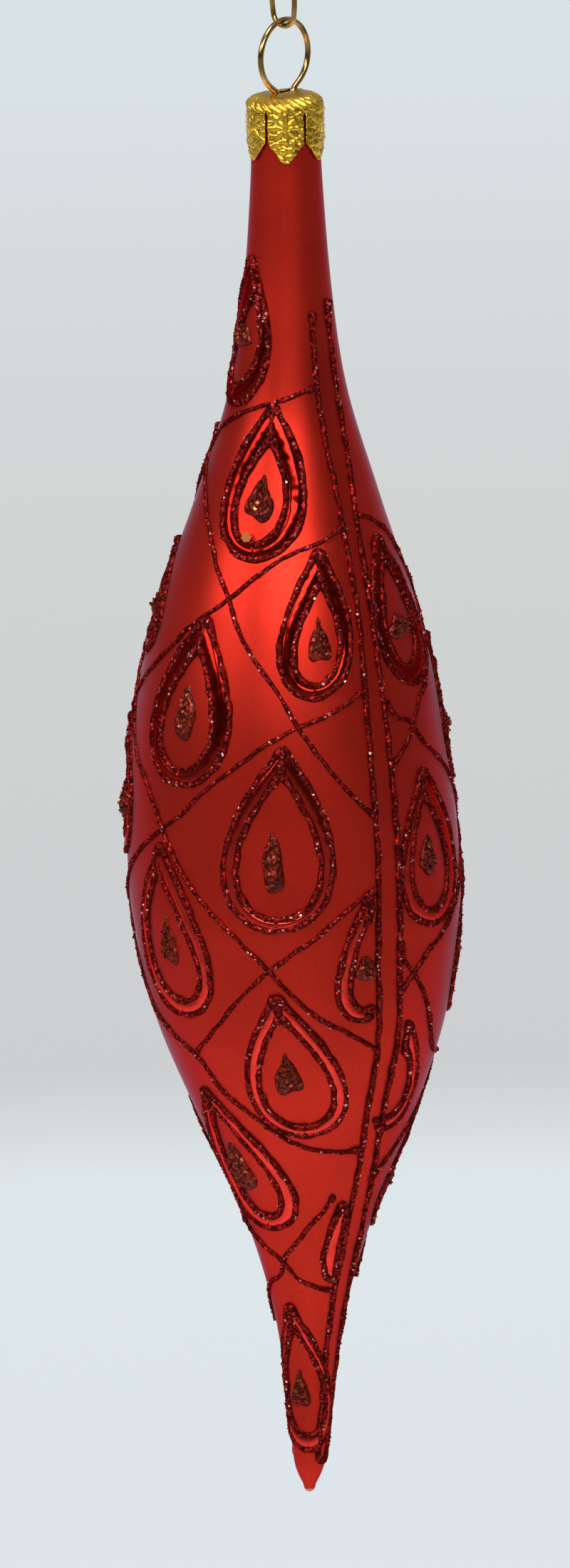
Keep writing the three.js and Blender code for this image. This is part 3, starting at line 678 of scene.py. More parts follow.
def satin_glass(add):
    """Satin red coat over silvered glass: cloudy and finely grained, with a faint lilac sheen at its edges,
    and bare pink glass at the very tip."""
    glass = bpy.context.scene.bauble_glass
    place = object_place(add)
    clouds = noise(add, place, 55, 3)
    grain = noise(add, place, 2600, 2, 0.6)
    coat = ramp(add, clouds, [(0.3, shade(glass.satin_red, 0.86)), (0.7, shade(glass.satin_red, 1.08))])
    speck = ramp(add, grain, [(0.3, shade(WHITE, 0.86)), (0.7, WHITE)])
    speckled = blended(add, 1.0, coat, speck, "MULTIPLY")
    coat_end, bare_start = GLASS_LOW.z + 0.9 * MM, GLASS_LOW.z + 0.4 * MM
    bare = level(add, height_of(add, place), 0.0, 1.0, coat_end, bare_start, "SMOOTHSTEP")
    return {
        "Base Color": blended(add, bare, speckled, (*glass.clear_tip, 1)),
        "Metallic": level(add, bare, 0.9, 0.1),
        "Roughness": level(add, clouds, 0.34, 0.42),
        "Normal": bump(add, grain, 0.06, 0.05 * MM),
        "Specular IOR Level": 0.3,
        "Specular Tint": (0.3, 0.3, 0.4, 1),
        "Sheen Weight": 0.38,
        "Sheen Roughness": 0.32,
        "Sheen Tint": (0.46, 0.44, 0.56, 1),
    }


def lacquer(add):
    """Glossy red lacquer, a little wavy from the brush. Its colour is painted light: painted shade above,
    dark like the room that the upper bands mirror, and below a bright painted reflection of the pale floor.
    """
    glitter = bpy.context.scene.bauble_glitter
    place = object_place(add)
    waves = noise(add, place, 420, 1)
    # By height alone, the colour runs from painted shade above to a painted reflection of the floor below.
    shade_end, shine_start = LIP - 0.42 * GLASS_LENGTH, LIP - 0.62 * GLASS_LENGTH
    painted_shine = level(add, height_of(add, place), 0.0, 1.0, shade_end, shine_start)
    streaks = ramp(add, waves, [(0.3, shade(WHITE, 0.75)), (0.7, WHITE)])
    film = ramp(add, painted_shine, [(0.0, glitter.lacquer), (1.0, glitter.floor_shine_lacquer)])
    return {
        "Base Color": blended(add, 1.0, film, streaks, "MULTIPLY"),
        "Metallic": level(add, painted_shine, 0.95, 0.85),
        "Roughness": level(add, waves, 0.08, 0.2),
        "Specular Tint": (0.6, 0.15, 0.15, 1),
        "Normal": bump(add, waves, 0.6, 0.2 * MM),
    }


def glitter_glue(add, glue, flake, glint, scale, shine):
    """Glue packed with fine flakes: each cell of the pattern is a flake with its own colour and its own tilt,
    most of them dark, some red and a few in the glint colour, which in the red glue is pale painted glint."""
    cells = add("ShaderNodeTexVoronoi", {"Vector": object_place(add), "Scale": scale}).outputs["Color"]
    parts = add("ShaderNodeSeparateColor", {"Color": cells}).outputs
    stops = [
        (0.0, shade(glue, 0.5)),
        (0.45, glue),
        (0.62, shade(glue, 2.2)),
        (0.8, flake),
        (0.975, shade(flake, 1.8)),
        # The last stop is painted glint in the red glue; in the brown glue it is the gold of real flakes.
        (1.0, glint),
    ]
    lean = vector_maths(add, "SUBTRACT", cells, shade(WHITE, 0.5))
    lean = vector_maths(add, "MULTIPLY", lean, shade(WHITE, 0.8))
    surface = add("ShaderNodeNewGeometry").outputs["Normal"]
    return {
        "Base Color": ramp(add, parts["Red"], stops),
        "Metallic": level(add, parts["Green"], 0.8, 1.0),
        "Roughness": level(add, parts["Blue"], 0.25, 0.6),
        "Specular IOR Level": 0.25,
        "Specular Tint": (0.7, 0.25, 0.25, 1),
        "Coat Weight": shine,
        "Coat Roughness": 0.2,
        "Normal": vector_maths(add, "NORMALIZE", vector_maths(add, "ADD", surface, lean)),
    }


def loose_flakes(add, stops):
    """Bright flakes that lie on the glue, their colours picked by each flake's tone."""
    tone = tone_of(add)
    return {
        "Base Color": ramp(add, tone, stops),
        "Metallic": 0.6,
        "Roughness": level(add, tone, 0.3, 0.14),
        "Specular Tint": (0.8, 0.4, 0.32, 1),
    }


def stamped_gold(add):
    """Gold-lacquered sheet with a fine crinkle, and painted shade that darkens its hollows."""
    gold = bpy.context.scene.bauble_metal.sheet_gold
    place = object_place(add)
    stretched = add("ShaderNodeMapping", {"Vector": place, "Scale": (1, 1, 2.2)}).outputs["Vector"]
    crinkle = noise(add, stretched, 1100, 3, 0.55)
    stain = noise(add, place, 420, 2)
    sheet = ramp(add, stain, [(0.3, shade(gold, 0.7)), (0.5, gold), (0.7, shade(gold, 1.12))])
    # Painted shade: the colour darkens where the relief sinks, as though shade fell in the hollows.
    hollow = ramp(add, tone_of(add), [(0.2, (0.3, 0.22, 0.12)), (0.5, (0.8, 0.76, 0.66)), (0.75, WHITE)])
    return {
        "Base Color": blended(add, 1.0, sheet, hollow, "MULTIPLY"),
        "Metallic": 1.0,
        "Roughness": level(add, crinkle, 0.36, 0.22),
        "Normal": bump(add, crinkle, 0.55, 0.12 * MM),
    }


def brassed_wire(add):
    """Brassed spring wire, finely pitted and a little dulled by handling."""
    brass = bpy.context.scene.bauble_metal.wire_gold
    place = object_place(add)
    dull = noise(add, place, 380, 3)
    stops = [(0.3, shade(brass, 0.4)), (0.5, shade(brass, 0.85)), (0.7, shade(brass, 1.4))]
    return {
        "Base Color": ramp(add, dull, stops),
        "Metallic": 1.0,
        "Roughness": level(add, dull, 0.1, 0.28),
        "Normal": bump(add, noise(add, place, 3000, 1), 0.15, 0.03 * MM),
    }


def red_glitter():
    """The glue of stripes, lattice and outlines, and the flakes on it."""
    glitter = bpy.context.scene.bauble_glitter
    glue, red, pale = glitter.dark_glue, glitter.red_flake, glitter.painted_glint_flake
    stops = [
        (0.0, glue),
        (0.4, shade(red, 0.6)),
        (0.75, shade(red, 1.4)),
        (0.93, shade(red, 2.4)),
        # The pale flakes are painted glints.
        (0.955, pale),
        (1.0, glitter.gold_flake),
    ]
    return [
        finish("dark_red_glitter", glitter_glue, glue, red, pale, 2900, 0.0),
        finish("red_flakes", loose_flakes, stops),
    ]


def brown_glitter():
    """The glue of the centre drops, and the coarse flakes in it."""
    glitter = bpy.context.scene.bauble_glitter
    glue, red, gold = glitter.brown_glue, shade(glitter.red_flake, 0.7), glitter.gold_flake
    stops = [
        (0.0, glue),
        (0.5, shade(glue, 1.6)),
        (0.8, red),
        (0.93, shade(gold, 0.25)),
        (0.98, shade(gold, 0.8)),
    ]
    return [
        finish("brown_glitter", glitter_glue, glue, red, gold, 2300, 0.2),
        finish("coarse_flakes", loose_flakes, stops),
    ]


# Teardrops


def teardrop_line(outline, angle, side):
    """Azimuths and depths along one side of an outline. Down the line the depth follows the cosine of the
    angle, and the distance from the middle line is the sine times the sine of half the angle, so that it
    is pointed above and round below."""
    azimuth, down, percent, half, lean = outline
    middle, reach = down / 100 * GLASS_LENGTH, percent / 100 * GLASS_LENGTH
    width = math.radians(half) * float(glass_radius(np.array(middle)))
    depth = middle - reach / 2 * np.cos(angle)
    peak = 4 / (3 * math.sqrt(3))
    across = side * width * np.sin(angle) * np.sin(angle / 2) / peak
    tilt = lean * (middle - depth) / (reach / 2)
    return azimuth + tilt + np.degrees(across / glass_radius(depth)), depth


def teardrops():
    """Every teardrop's number, outer outline, inner outline and drawn sides. In those drawn alike the inner
    outline is about two thirds as wide."""
    rows = [(number, *row) for number, row in FRONT_TEARDROPS.items()]
    for number, (azimuth, down, percent, half) in OTHER_TEARDROPS.items():
        inner = azimuth, down + 0.3, percent * 0.72, half * 0.64, 0.0
        rows.append((number, (azimuth, down, percent, half, 0.0), inner, 0))
    return sorted(rows)


def centre_drops():
    """Every centre drop's number, azimuth, depth, length and half width, in degrees and metres. In the
    teardrops drawn alike the last two are random."""
    rows = [(number, *row) for number, row in CENTRES.items()]
    for number, (azimuth, down, *_) in OTHER_TEARDROPS.items():
        rng = np.random.default_rng(number)
        rows.append((number, azimuth, down + 1, rng.uniform(5.5, 8), rng.uniform(1.4, 1.9)))
    return [
        (number, azimuth, down / 100 * GLASS_LENGTH, long * MM, wide * MM)
        for number, azimuth, down, long, wide in sorted(rows)
    ]


def sides_of(sides):
    """The sides of a teardrop that are drawn, -1 for the left and 1 for the right."""
    return (sides,) if sides else (-1, 1)


def stripe_pair(azimuth, depth):
    """Azimuths of a pair's left and right stripe: the pair's own azimuth plus the wander at that depth, and
    that plus the spacing as an angle."""
    spacing = bpy.context.scene.bauble_glitter.stripe_spacing
    percent = depth / GLASS_LENGTH * 100
    left = azimuth + smooth_through(WANDER)(percent)
    return left, left + np.degrees(spacing * smooth_through(SPREAD)(percent) / glass_radius(depth))


def draw_lines(node, strokes, width, height, seed, stray=None):
    """A piece of glitter beads along strokes of (azimuths, depths), with loose flakes on them, and perhaps a
    large stray one."""
    glitter = bpy.context.scene.bauble_glitter
    shells = []
    for count, (azimuth, depth) in enumerate(strokes):
        own_seed = seed + 7 * count
        points, _ = on_glass(azimuth, depth)
        path = evenly(points, BEAD_STEP * MM, np.stack([azimuth, depth], -1)).T
        bead, spots = bead_shell(*path, width, height, own_seed)
        flake_count = max(3, round(len(path[0]) * BEAD_STEP * FLAKE_CROWD))
        flakes, tones = flake_shell(spots, flake_count, glitter.flake, 0.55, own_seed + 5)
        shells += [(bead, 0, 0.0), (flakes, 1, tones)]
    if stray:
        azimuth, percent = stray
        spot = on_glass(np.array([azimuth]), np.array([percent / 100 * GLASS_LENGTH]), [height])
        flake, _ = flake_shell(spot, 1, glitter.stray_flake, 0.1, seed)
        shells.append((flake, 1, 1.0))
    mesh_piece(node + "_glitter", shells, red_glitter(), node)


def bend_wire(name, route, thickness, node):
    """A piece of round wire along the spline through a route's knots. The node and its body share a name."""
    shell = wire_shell(through_points(route, 1500), thickness / 2)
    mesh_piece(name, [(shell, 0, 0.0)], [finish("brassed_wire", brassed_wire)], node, node)


# Operators


class BAUBLE_OT_glass(Operator):
    """Blow the glass drop with its satin red coat"""

    bl_idname = "bauble.glass"
    bl_label = "Glass drop"

    def execute(self, context):
        """The surface is the outline turned about the drifting axis: up the outside from tip to lip as even
        steps of depth with finer ones in the tip, across the flat lip, and down the hollow to its end. Low
        waves lie on the outside."""
        glass = context.scene.bauble_glass
        nib = GLASS_LENGTH - glass.nib_length
        rows, nib_rows, hollow_rows, columns = 200, 36, 90, 128
        outside = np.r_[np.linspace(0, nib, rows), np.linspace(nib, GLASS_LENGTH, nib_rows)[1:]][::-1]
        inside = np.linspace(0, GLASS_LENGTH - glass.hollow_end, hollow_rows)[1:]
        turn = np.linspace(0, math.pi, 9)[1:-1]
        lip = glass.lip_radius - glass.wall / 2 + glass.wall / 2 * np.cos(turn)
        radius = np.r_[glass_radius(outside), lip, glass_radius(inside) - glass.wall, 0]
        depth = np.r_[outside, np.zeros(len(turn)), inside, inside[-1]]
        around = compass(np.radians(np.linspace(0, 360, columns, endpoint=False)))
        points = around[None] * radius[:, None, None] + glass_drift(depth)[:, None]
        points[..., 2] = (LIP - depth)[:, None]
        wave_height, wave_size, calm_neck = 0.05 * MM, 24 * MM, 20 * MM
        waves = wave_height * lumps(points, wave_size, GLASS_SEED) * np.clip(depth / calm_neck, 0, 1)[:, None]
        waves[len(outside):] = 0
        points += around[None] * waves[..., None]
        shell = points.reshape(-1, 3), grid_faces(len(radius), len(around))
        material = finish("satin_red_glass", satin_glass)
        mesh_piece("glass_drop", [(shell, 0, 0.0)], [material], "glass")
        return {"FINISHED"}


class BAUBLE_OT_stripes(Operator):
    """Draw the two pairs of long stripes"""

    bl_idname = "bauble.stripes"
    bl_label = "Long stripes"

    def execute(self, context):
        """Each pair is one stroke: down at the pair's azimuth, a half turn above the tip, and up again at
        the azimuth that lies the spacing to the right."""
        glitter = context.scene.bauble_glitter
        bottom = GLASS_LENGTH - glitter.stripe_foot
        down = np.linspace(glitter.stripe_start, bottom, 600)
        up = np.linspace(glitter.stripe_start - glitter.stripe_lead, bottom, 600)
        sweep = np.linspace(0, math.pi, 24)[1:-1]
        turn = bottom + glitter.stripe_sag * np.sin(sweep)
        for count, (name, azimuth) in enumerate(STRIPES.items()):
            left = stripe_pair(azimuth, down)[0]
            right = stripe_pair(azimuth, up)[1]
            across = left[-1] + (right[-1] - left[-1]) * (1 - np.cos(sweep)) / 2
            stroke = np.r_[left, across, right[::-1]], np.r_[down, turn, up[::-1]]
            draw_lines(name, [stroke], glitter.stripe_width, glitter.stripe_height, STRIPE_SEED + count)
        return {"FINISHED"}


class BAUBLE_OT_lattice(Operator):
    """Draw the lattice lines that cross between the stripes"""

    bl_idname = "bauble.lattice"
    bl_label = "Lattice lines"

    def execute(self, context):
        """Each line is the spline through its knots, in degrees and millimetres, laid on the glass."""
        glitter = context.scene.bauble_glitter
        percent = GLASS_LENGTH / 100 / MM
        for count, (name, lines) in enumerate(LATTICES.items()):
            strokes = [(through_points(np.multiply(line, (1, percent)), 400) * (1, MM)).T for line in lines]
            size = glitter.lattice_width, glitter.lattice_height
            draw_lines(name, strokes, *size, LATTICE_SEED + 20 * count)
        return {"FINISHED"}


class BAUBLE_OT_outlines(Operator):
    """Draw the double outlines of the teardrops"""

    bl_idname = "bauble.outlines"
    bl_label = "Teardrop outlines"

    def execute(self, context):
        """A whole outline is one stroke from the tip down the left side and up the right one. A half one
        stops a little past its foot. A short blob joins the two tips."""
        glitter = context.scene.bauble_glitter
        angle = np.linspace(0, math.pi, 160)
        foot = angle > math.pi - 0.4
        way = np.linspace(-0.1, 1.1, 12)
        for number, outer, inner, sides in teardrops():
            first = sides_of(sides)[0]
            way_back = (angle[foot] if sides else angle)[::-1]
            strokes = []
            for outline in (outer, inner):
                there = teardrop_line(outline, angle, first)
                back = teardrop_line(outline, way_back, -first)
                strokes.append([np.r_[a, b[1:]] for a, b in zip(there, back)])
            tips = [teardrop_line(outline, np.zeros(1), 1) for outline in (outer, inner)]
            strokes.append([a * (1 - way) + b * way for a, b in zip(*tips)])
            size = glitter.outline_width, glitter.outline_height
            seed, stray = OUTLINE_SEED + 40 * number, STRAY_FLAKES.get(number)
            draw_lines(f"teardrop_{number:02d}", strokes, *size, seed, stray)
        return {"FINISHED"}


class BAUBLE_OT_bands(Operator):
    """Lay the glossy red lacquer between the outlines"""

    bl_idname = "bauble.bands"
    bl_label = "Lacquer bands"

    def execute(self, context):
        """Across the band the film runs from one outline to the other, a low arch closed underneath."""
        share = np.array([0, 0.12, 0.3, 0.5, 0.7, 0.88, 1.0])
        lift = np.array([-0.05, 0.17, 0.34, 0.4, 0.34, 0.17, -0.05]) * MM
        angle = np.linspace(0.04, math.pi, 140)
        faces = grid_faces(len(angle), len(share))
        for number, outer, inner, sides in teardrops():
            shells = []
            for side in sides_of(sides):
                edges = [np.stack(teardrop_line(line, angle, side), -1)[:, None] for line in (outer, inner)]
                spread = edges[0] * (1 - share)[:, None] + edges[1] * share[:, None]
                points, _ = on_glass(spread[..., 0], spread[..., 1], np.broadcast_to(lift, spread.shape[:2]))
                if side > 0:
                    points = points[:, ::-1]
                ends = points.mean(axis=1, keepdims=True)
                points[[0, -1]] = ends[[0, -1]]
                shells.append(((points.reshape(-1, 3), faces), 0, 0.0))
            material = finish("glossy_red_lacquer", lacquer)
            mesh_piece(f"lacquer_band_{number:02d}", shells, [material], None)
        return {"FINISHED"}


class BAUBLE_OT_centres(Operator):
    """Drip the coarse centre drops"""

    bl_idname = "bauble.centres"
    bl_label = "Centre drops"

    def execute(self, context):
        """A drop is a dome over a foot that is pointed above: outwards the height falls as the root of one
        less the share squared, and lumps the size of the coarse flakes stand on it."""
        glitter = context.scene.bauble_glitter
        share = np.r_[0, np.linspace(0.08, 1, 22)]
        dome = np.sqrt(1 - share**2)[:, None]
        turn = np.linspace(0, 2 * math.pi, 48, endpoint=False)
        for number, middle_azimuth, middle, long, wide in centre_drops():
            seed = CENTRE_SEED + 20 * number
            out = share[:, None] * (1 + 0.08 * np.cos(3 * turn + seed) + 0.07 * np.cos(5 * turn + 2 * seed))
            depth = middle - out * long / 2 * np.cos(turn)
            width = out * wide * np.sin(turn) * (1 - 0.6 * np.cos(turn))
            azimuth = middle_azimuth + np.degrees(width / glass_radius(depth))
            rise = glitter.centre_height * dome * (1 - 0.35 * np.cos(turn))
            points, normals = on_glass(azimuth, depth, rise - 0.08 * MM)
            grain = lumps(points, 1.1 * MM, seed) + 0.5 * lumps(points, 0.5 * MM, seed + 1)
            points = points + normals * (glitter.centre_lumps * grain * dome)[..., None]
            every = np.ones_like(turn)
            floor, _ = on_glass(middle_azimuth * every, middle * every, -0.1 * MM * every)
            sheet = np.concatenate([points, floor[None]])
            shell = sheet.reshape(-1, 3), grid_faces(len(sheet), len(turn))[:, ::-1]
            spots = points[2:18].reshape(-1, 3), normals[2:18].reshape(-1, 3)
            flakes, tones = flake_shell(spots, 30, glitter.coarse_flake, 0.6, seed + 2)
            shells = [(shell, 0, 0.0), (flakes, 1, tones)]
            node = f"centre_drop_{number:02d}"
            mesh_piece(node + "_glue", shells, brown_glitter(), node)
        return {"FINISHED"}


class BAUBLE_OT_cap(Operator):
    """Stamp the gold crown cap"""

    bl_idname = "bauble.cap"
    bl_label = "Crown cap"

    def execute(self, context):
        """The sheet is cut in one sector for each tab, from the slot's edge over the dome to the tab's tip.
        Over the dome the height is the dome curve over the share of the radius. Below it the sector hangs
        straight, and its half width shrinks at the slit's top and again from the valley to the tip."""
        metal = context.scene.bauble_metal
        radius = metal.cap_radius
        full = math.pi / metal.tabs
        dome, skirt = 44, 62
        share = np.r_[np.linspace(0, 1, dome), np.ones(skirt)]
        hang = np.linspace(DOME[-1][1] * MM, metal.cap_drop, skirt + 1)[1:]
        drop = np.r_[smooth_through(DOME)(share[:dome]) * MM, hang]
        opening = np.clip((drop - metal.slit_drop) / (0.25 * MM), 0, 1)
        upper = full - metal.slit_width / 2 / radius * np.sqrt(opening)
        point = np.clip((drop - metal.valley_drop) / (metal.cap_drop - metal.valley_drop), 0, 1)
        half = upper * (1 - point) + metal.tab_tip / 2 / radius * point
        across = half[:, None] * np.linspace(-1, 1, 43)
        fall = np.broadcast_to(drop[:, None], across.shape)
        shells = []
        for tab in range(metal.tabs):
            angle = math.radians(FRONT) + tab * 2 * full + across
            around = compass(angle)[..., :2]
            slot = np.sign(around) * np.abs(around) ** 0.75 * SLOT
            flat = slot * (1 - share)[:, None, None] + around * (radius * share)[:, None, None]
            out, up = sheet_relief(flat, fall, share[:, None], across * radius, angle, metal)
            flat = flat + around * out[..., None]
            points = np.concatenate([flat, (CAP_HIGH.z - fall + up)[..., None]], -1)
            # The tone follows the relief's height; the gold finish paints shade where it is low.
            tone = np.clip(0.5 + (out + up) / (0.5 * MM), 0, 1).ravel()
            shells.append(((points.reshape(-1, 3), grid_faces(*angle.shape, wrap=False)), 0, tone))
        material = finish("stamped_gold_sheet", stamped_gold)
        piece = mesh_piece("crown_cap", shells, [material], "cap", "cap")
        wall = piece.modifiers.new("sheet", "SOLIDIFY")
        wall.thickness = metal.cap_sheet
        wall.offset = -1
        return {"FINISHED"}


def sheet_relief(flat, fall, share, across_tab, angle, metal):
    """How far the stamped sheet stands out and up. Round the dome's edge stand slanting flutes, a flattened
    cosine of the angle. On the skirt lie crinkles wider than they are tall, and on each tab a star, whose
    eight rays lie where the sine of four times the bearing from its middle is nought."""
    shoulder = np.clip((share - 0.46) / 0.2, 0, 1) * np.clip((2.1 * MM - fall) / (0.6 * MM), 0, 1)
    twist = angle - 0.38 * fall / (1.5 * MM) - 0.15 * (share - 0.7)
    flute = np.abs(np.cos(twist * metal.flutes / 2)) ** 0.8 - 0.55
    flute = flute + 0.2 * lumps(np.concatenate([flat, fall[..., None]], -1), 1.3 * MM, CAP_SEED)
    ridge = metal.flute_height * flute * shoulder
    steep = np.clip((share - 0.72) / 0.25, 0, 1)
    skirt = np.clip((fall - 1.3 * MM) / (0.7 * MM), 0, 1)
    spot = np.concatenate([flat, 2.3 * fall[..., None]], -1)
    waves = lumps(spot, 1.7 * MM, CAP_SEED + 10) + 0.6 * lumps(spot, 0.9 * MM, CAP_SEED + 11)
    below = fall - metal.star_drop
    out = np.hypot(across_tab, below)
    ray = out * np.abs(np.sin(4 * np.arctan2(across_tab, below))) / 4
    ray_width, ray_reach, star_reach = 0.17 * MM, 1.75 * MM, 2.4 * MM
    star = np.exp(-((ray / ray_width) ** 2)) * np.clip(1.5 - out / ray_reach, 0, 1)
    clear = np.clip(out / star_reach, 0.1, 1) ** 1.5
    crinkle = skirt * (0.14 * MM * waves * clear + 0.3 * MM * star - 0.1 * MM * (1 - clear))
    return ridge * steep + crinkle, ridge * (1 - 0.7 * steep)


class BAUBLE_OT_hanger(Operator):
    """Bend the hanger's spring wire"""

    bl_idname = "bauble.hanger"
    bl_label = "Hanger"

    def execute(self, context):
        """The wire runs round the ring from its top, bends in to the slot and down one splayed leg, and the
        other half is its mirror image."""
        metal = context.scene.bauble_metal
        radius = metal.ring_radius
        centre = HANGER_HIGH.z - metal.hanger_wire / 2 - radius
        angle = np.radians(np.linspace(0, 137, 10))
        ring = np.stack([radius * np.sin(angle), centre + radius * np.cos(angle)], -1)
        top, knee, bottom = CAP_HIGH.z, CAP_HIGH.z - 4.65 * MM, HANGER_LOW.z
        leg, bend, foot, splay = 1.6 * MM, 0.35 * MM, 2 * MM, 3.32 * MM
        legs = [
            (leg + bend, top + bend),
            (leg, top - bend),
            (leg, (top + knee) / 2),
            (leg, knee),
            ((leg + splay) / 2, (knee + bottom) / 2),
            (splay, bottom + foot),
            (splay, bottom),
        ]
        right = np.concatenate([ring, legs])
        route = np.concatenate([right[:0:-1] * (-1, 1), right])
        bend_wire("spring_hanger", np.insert(route, 1, 0, axis=1), metal.hanger_wire, "hanger")
        return {"FINISHED"}


class BAUBLE_OT_hook(Operator):
    """Bend the ornament hook"""

    bl_idname = "bauble.hook"
    bl_label = "Hook"

    def execute(self, context):
        """The wire goes over the crook's half circle, down the leaning shank and round the eye."""
        wire = context.scene.bauble_metal.hook_wire
        crook, tail, flare = 5.4 * MM, 4 * MM, 0.25 * MM
        eye, tall, pinch = 2 * MM, 9 * MM, 1 * MM
        high = HOOK_HIGH.z - wire / 2 - crook
        low = HOOK_LOW.z + wire / 2 + eye
        over = np.linspace(0, math.pi, 9)
        under = -np.linspace(0, math.pi, 7)
        route = np.concatenate(
            [
                [(crook + flare, high - tail)],
                np.stack([crook * np.cos(over), high + crook * np.sin(over)], -1),
                [(pinch - crook, high - crook), (eye, low + tall)],
                np.stack([eye * np.cos(under), low + eye * np.sin(under)], -1),
                [(-eye, low + tall / 2), (pinch - eye, low + tall - pinch)],
            ]
        )
        bend_wire("ornament_hook", np.insert(route, 0, 0, axis=1), wire, "hook")
        return {"FINISHED"}


class BAUBLE_OT_studio(Operator):
    """Set up the floor, the lamps and the camera"""

    bl_idname = "bauble.studio"
    bl_label = "Studio"

    def execute(self, context):
        """The camera stands at the front azimuth, at its elevation and distance from the point aimed at."""
        studio = context.scene.bauble_studio
        context.scene.view_settings.view_transform = "Standard"
        add_floor(studio)
        add_backdrop(context.scene)
        add_camera(context.scene)
        add_lamps(studio)
        return {"FINISHED"}


def front_axes():
    """The front's right, away from the camera and up, for a level camera at the front azimuth."""
    front = math.radians(FRONT)
    right, away = (math.cos(front), math.sin(front), 0), (-math.sin(front), math.cos(front), 0)
    return Vector(right), Vector(away), Vector((0, 0, 1))


def aim_point(studio):
    """The point on the axis that the camera is aimed at."""
    return Vector((0, 0, CAP_HIGH.z - SHOULDER_DROP - studio.aim_drop))


def add_camera(scene):
    """Adds the camera, turned by its roll, with its shift set by where the photograph's middle lies."""
    studio = scene.bauble_studio
    right, away, up = front_axes()
    back = up * math.sin(studio.elevation) - away * math.cos(studio.elevation)
    top = back.cross(right)
    rolled_right = right * math.cos(studio.roll) + top * math.sin(studio.roll)
    rolled_top = top * math.cos(studio.roll) - right * math.sin(studio.roll)
    turned = Matrix((rolled_right, rolled_top, back)).transposed().to_4x4()
    camera = new_object("camera", bpy.data.cameras.new("camera"))
    camera.matrix_world = Matrix.Translation(aim_point(studio) + back * studio.distance) @ turned
    camera.data.lens = studio.lens
    camera.data.sensor_width = 36
    camera.data.shift_x = (PHOTO_WIDTH / 2 - AIMED_X) / PHOTO_HEIGHT
    camera.data.shift_y = (AIMED_Y - PHOTO_HEIGHT / 2) / PHOTO_HEIGHT
    camera.data.clip_start = 0.1
    camera.data.clip_end = 60
    scene.camera = camera


def add_floor(studio):
    """A round floor far below the tip, in polar rings. Its colour goes by the distance from the axis, dimmer
    towards the front and the sides, though less so where the camera sees it. Seen straight or mirrored it
    keeps most of its own tone, and it can't be seen from below."""
    height = GLASS_LOW.z - studio.floor_drop
    radius = np.r_[0, np.geomspace(0.2, 14, 30)][:, None]
    turn = np.linspace(0, 2 * math.pi, 64, endpoint=False)
    points = np.stack(np.broadcast_arrays(radius * np.cos(turn), radius * np.sin(turn), height), -1)
    mesh = bpy.data.meshes.new("floor")
    faces = grid_faces(len(radius), len(turn))[:, ::-1]
    mesh.from_pydata(points.reshape(-1, 3).tolist(), [], faces.tolist())
    close_doubles(mesh)
    material = bpy.data.materials.new("pale_floor")
    mesh.materials.append(material)
    add = node_adder(material)
    flat = vector_maths(add, "MULTIPLY", object_place(add), (1, 1, 0))
    distance = vector_maths(add, "LENGTH", flat, result="Value")
    tone = ramp(add, level(add, distance, 0.0, 1.0, 0.0, FLOOR_REACH), FLOOR_TONES)
    right, away, _ = front_axes()
    front = vector_maths(add, "DOT_PRODUCT", flat, -away, result="Value")
    aside = maths(add, "ABSOLUTE", vector_maths(add, "DOT_PRODUCT", flat, right, result="Value"))
    seen = add("ShaderNodeLightPath").outputs
    least = level(add, seen["Is Camera Ray"], 0.42, 0.86)
    dusk = level(add, maths(add, "ADD", aside, front), 1.0, least, 0.22, 0.85)
    tone = vector_maths(add, "MULTIPLY", tone, dusk)
    mirrored = maths(add, "MAXIMUM", seen["Is Glossy Ray"], seen["Is Transmission Ray"])
    direct = maths(add, "MAXIMUM", seen["Is Camera Ray"], mirrored)
    share = maths(add, "MULTIPLY", direct, studio.own_tone)
    matt = add("ShaderNodeBsdfDiffuse", {"Color": tone}).outputs["BSDF"]
    glow = add("ShaderNodeEmission", {"Color": tone, "Strength": 1.0}).outputs["Emission"]
    pale = add("ShaderNodeMixShader", {0: share, 1: matt, 2: glow}).outputs["Shader"]
    under = add("ShaderNodeNewGeometry").outputs["Backfacing"]
    clear = add("ShaderNodeBsdfTransparent").outputs["BSDF"]
    shader = add("ShaderNodeMixShader", {0: under, 1: pale, 2: clear})
    add("ShaderNodeOutputMaterial", {"Surface": shader.outputs["Shader"]})
    new_object("floor", mesh)


def add_backdrop(scene):
    """The world: seen straight it is the pale backdrop, and as light it is dimmer towards the front."""
    world = bpy.data.worlds.new("backdrop")
    scene.world = world
    add = node_adder(world)
    _, away, up = front_axes()
    direction = add("ShaderNodeTexCoord").outputs["Generated"]
    along = vector_maths(add, "DOT_PRODUCT", direction, away + up * 0.8, result="Value")
    dim = level(add, along, 0.06, 0.42, -0.5, 0.9, "SMOOTHSTEP")
    seen = add("ShaderNodeLightPath").outputs["Is Camera Ray"]
    tone = (*scene.bauble_studio.backdrop, 1)
    backdrop = add("ShaderNodeBackground", {"Color": tone, "Strength": level(add, seen, dim, 1.0)})
    add("ShaderNodeOutputWorld", {"Surface": backdrop.outputs["Background"]})


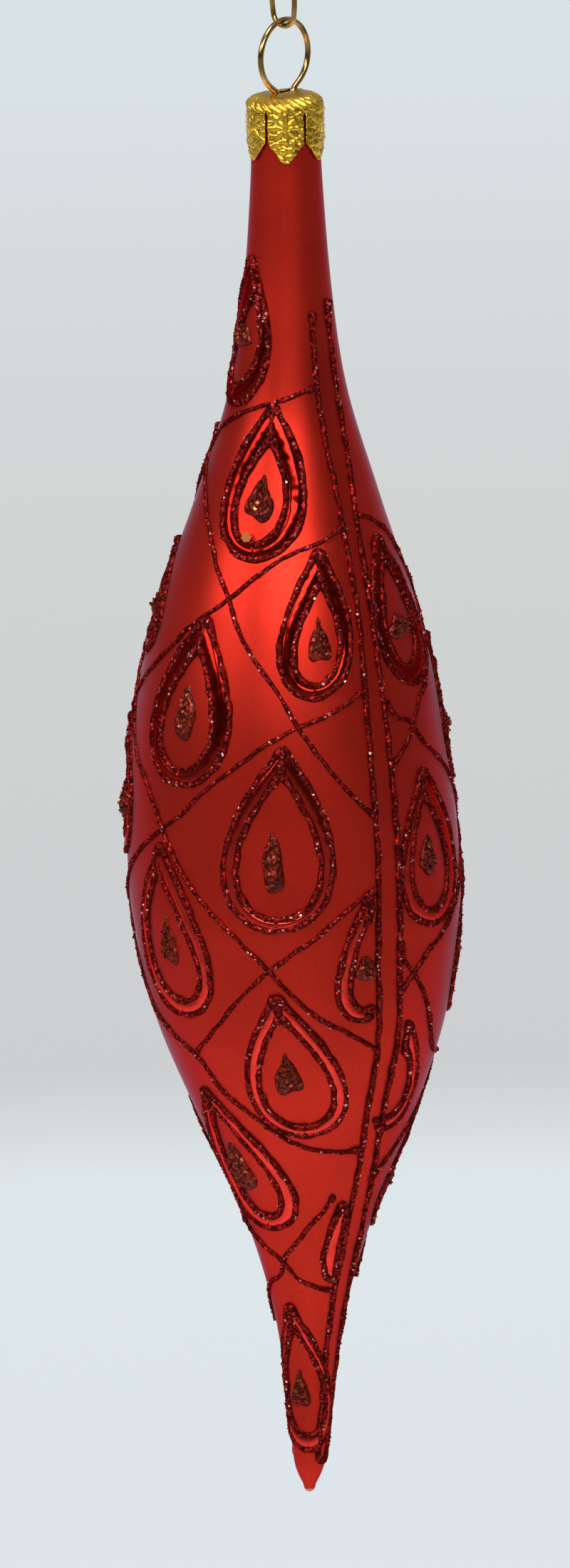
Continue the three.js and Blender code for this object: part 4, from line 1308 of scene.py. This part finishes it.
def add_lamps(studio):
    """A wide soft lamp high in front, one at its left and one above."""
    right, away, up = front_axes()
    target = aim_point(studio)
    lamps = [
        ("key", right * 0.06 - away * 1.35 + up * 0.9, (1.3, 0.5), 15.5),
        ("left_key", right * -1.35 - away * 0.85 + up * 0.85, (1.2, 0.6), 9.5),
        ("top", -away * 0.45 + up * 1.5, (0.7, 0.7), 9),
    ]
    for name, place, (wide, tall), power in lamps:
        lamp = new_object(name, bpy.data.lights.new(name, "AREA"))
        lamp.data.shape = "RECTANGLE"
        lamp.data.size = wide
        lamp.data.size_y = tall
        lamp.data.energy = power
        lamp.location = target + place
        lamp.rotation_mode = "QUATERNION"
        lamp.rotation_quaternion = place.to_track_quat("Z", "Y")


OPERATORS = (
    BAUBLE_OT_glass,
    BAUBLE_OT_bands,
    BAUBLE_OT_stripes,
    BAUBLE_OT_lattice,
    BAUBLE_OT_outlines,
    BAUBLE_OT_centres,
    BAUBLE_OT_cap,
    BAUBLE_OT_hanger,
    BAUBLE_OT_hook,
    BAUBLE_OT_studio,
)

GROUPS = {
    "bauble_glass": GlassProperties,
    "bauble_glitter": GlitterProperties,
    "bauble_metal": MetalProperties,
    "bauble_studio": StudioProperties,
}


class BAUBLE_PT_panel(Panel):
    """Lists the bauble's pieces and their sizes"""

    bl_idname = "BAUBLE_PT_panel"
    bl_label = "Glass bauble"
    bl_space_type = "VIEW_3D"
    bl_region_type = "UI"
    bl_category = "Bauble"

    def draw(self, context):
        for operator in OPERATORS:
            self.layout.operator(operator.bl_idname)
        for name, group in GROUPS.items():
            box = self.layout.box()
            for key in group.__annotations__:
                box.prop(getattr(context.scene, name), key)


def register():
    """Registers the property groups, the operators and the panel."""
    for name, group in GROUPS.items():
        bpy.utils.register_class(group)
        setattr(bpy.types.Scene, name, PointerProperty(type=group))
    for operator in OPERATORS:
        bpy.utils.register_class(operator)
    bpy.utils.register_class(BAUBLE_PT_panel)


def unregister():
    """Takes them away again."""
    bpy.utils.unregister_class(BAUBLE_PT_panel)
    for operator in reversed(OPERATORS):
        bpy.utils.unregister_class(operator)
    for name, group in GROUPS.items():
        delattr(bpy.types.Scene, name)
        bpy.utils.unregister_class(group)


def main():
    """Makes every piece and the stage."""
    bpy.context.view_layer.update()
    register()
    for operator in OPERATORS:
        group, name = operator.bl_idname.split(".")
        getattr(getattr(bpy.ops, group), name)()


if __name__ == "__main__":
    main()
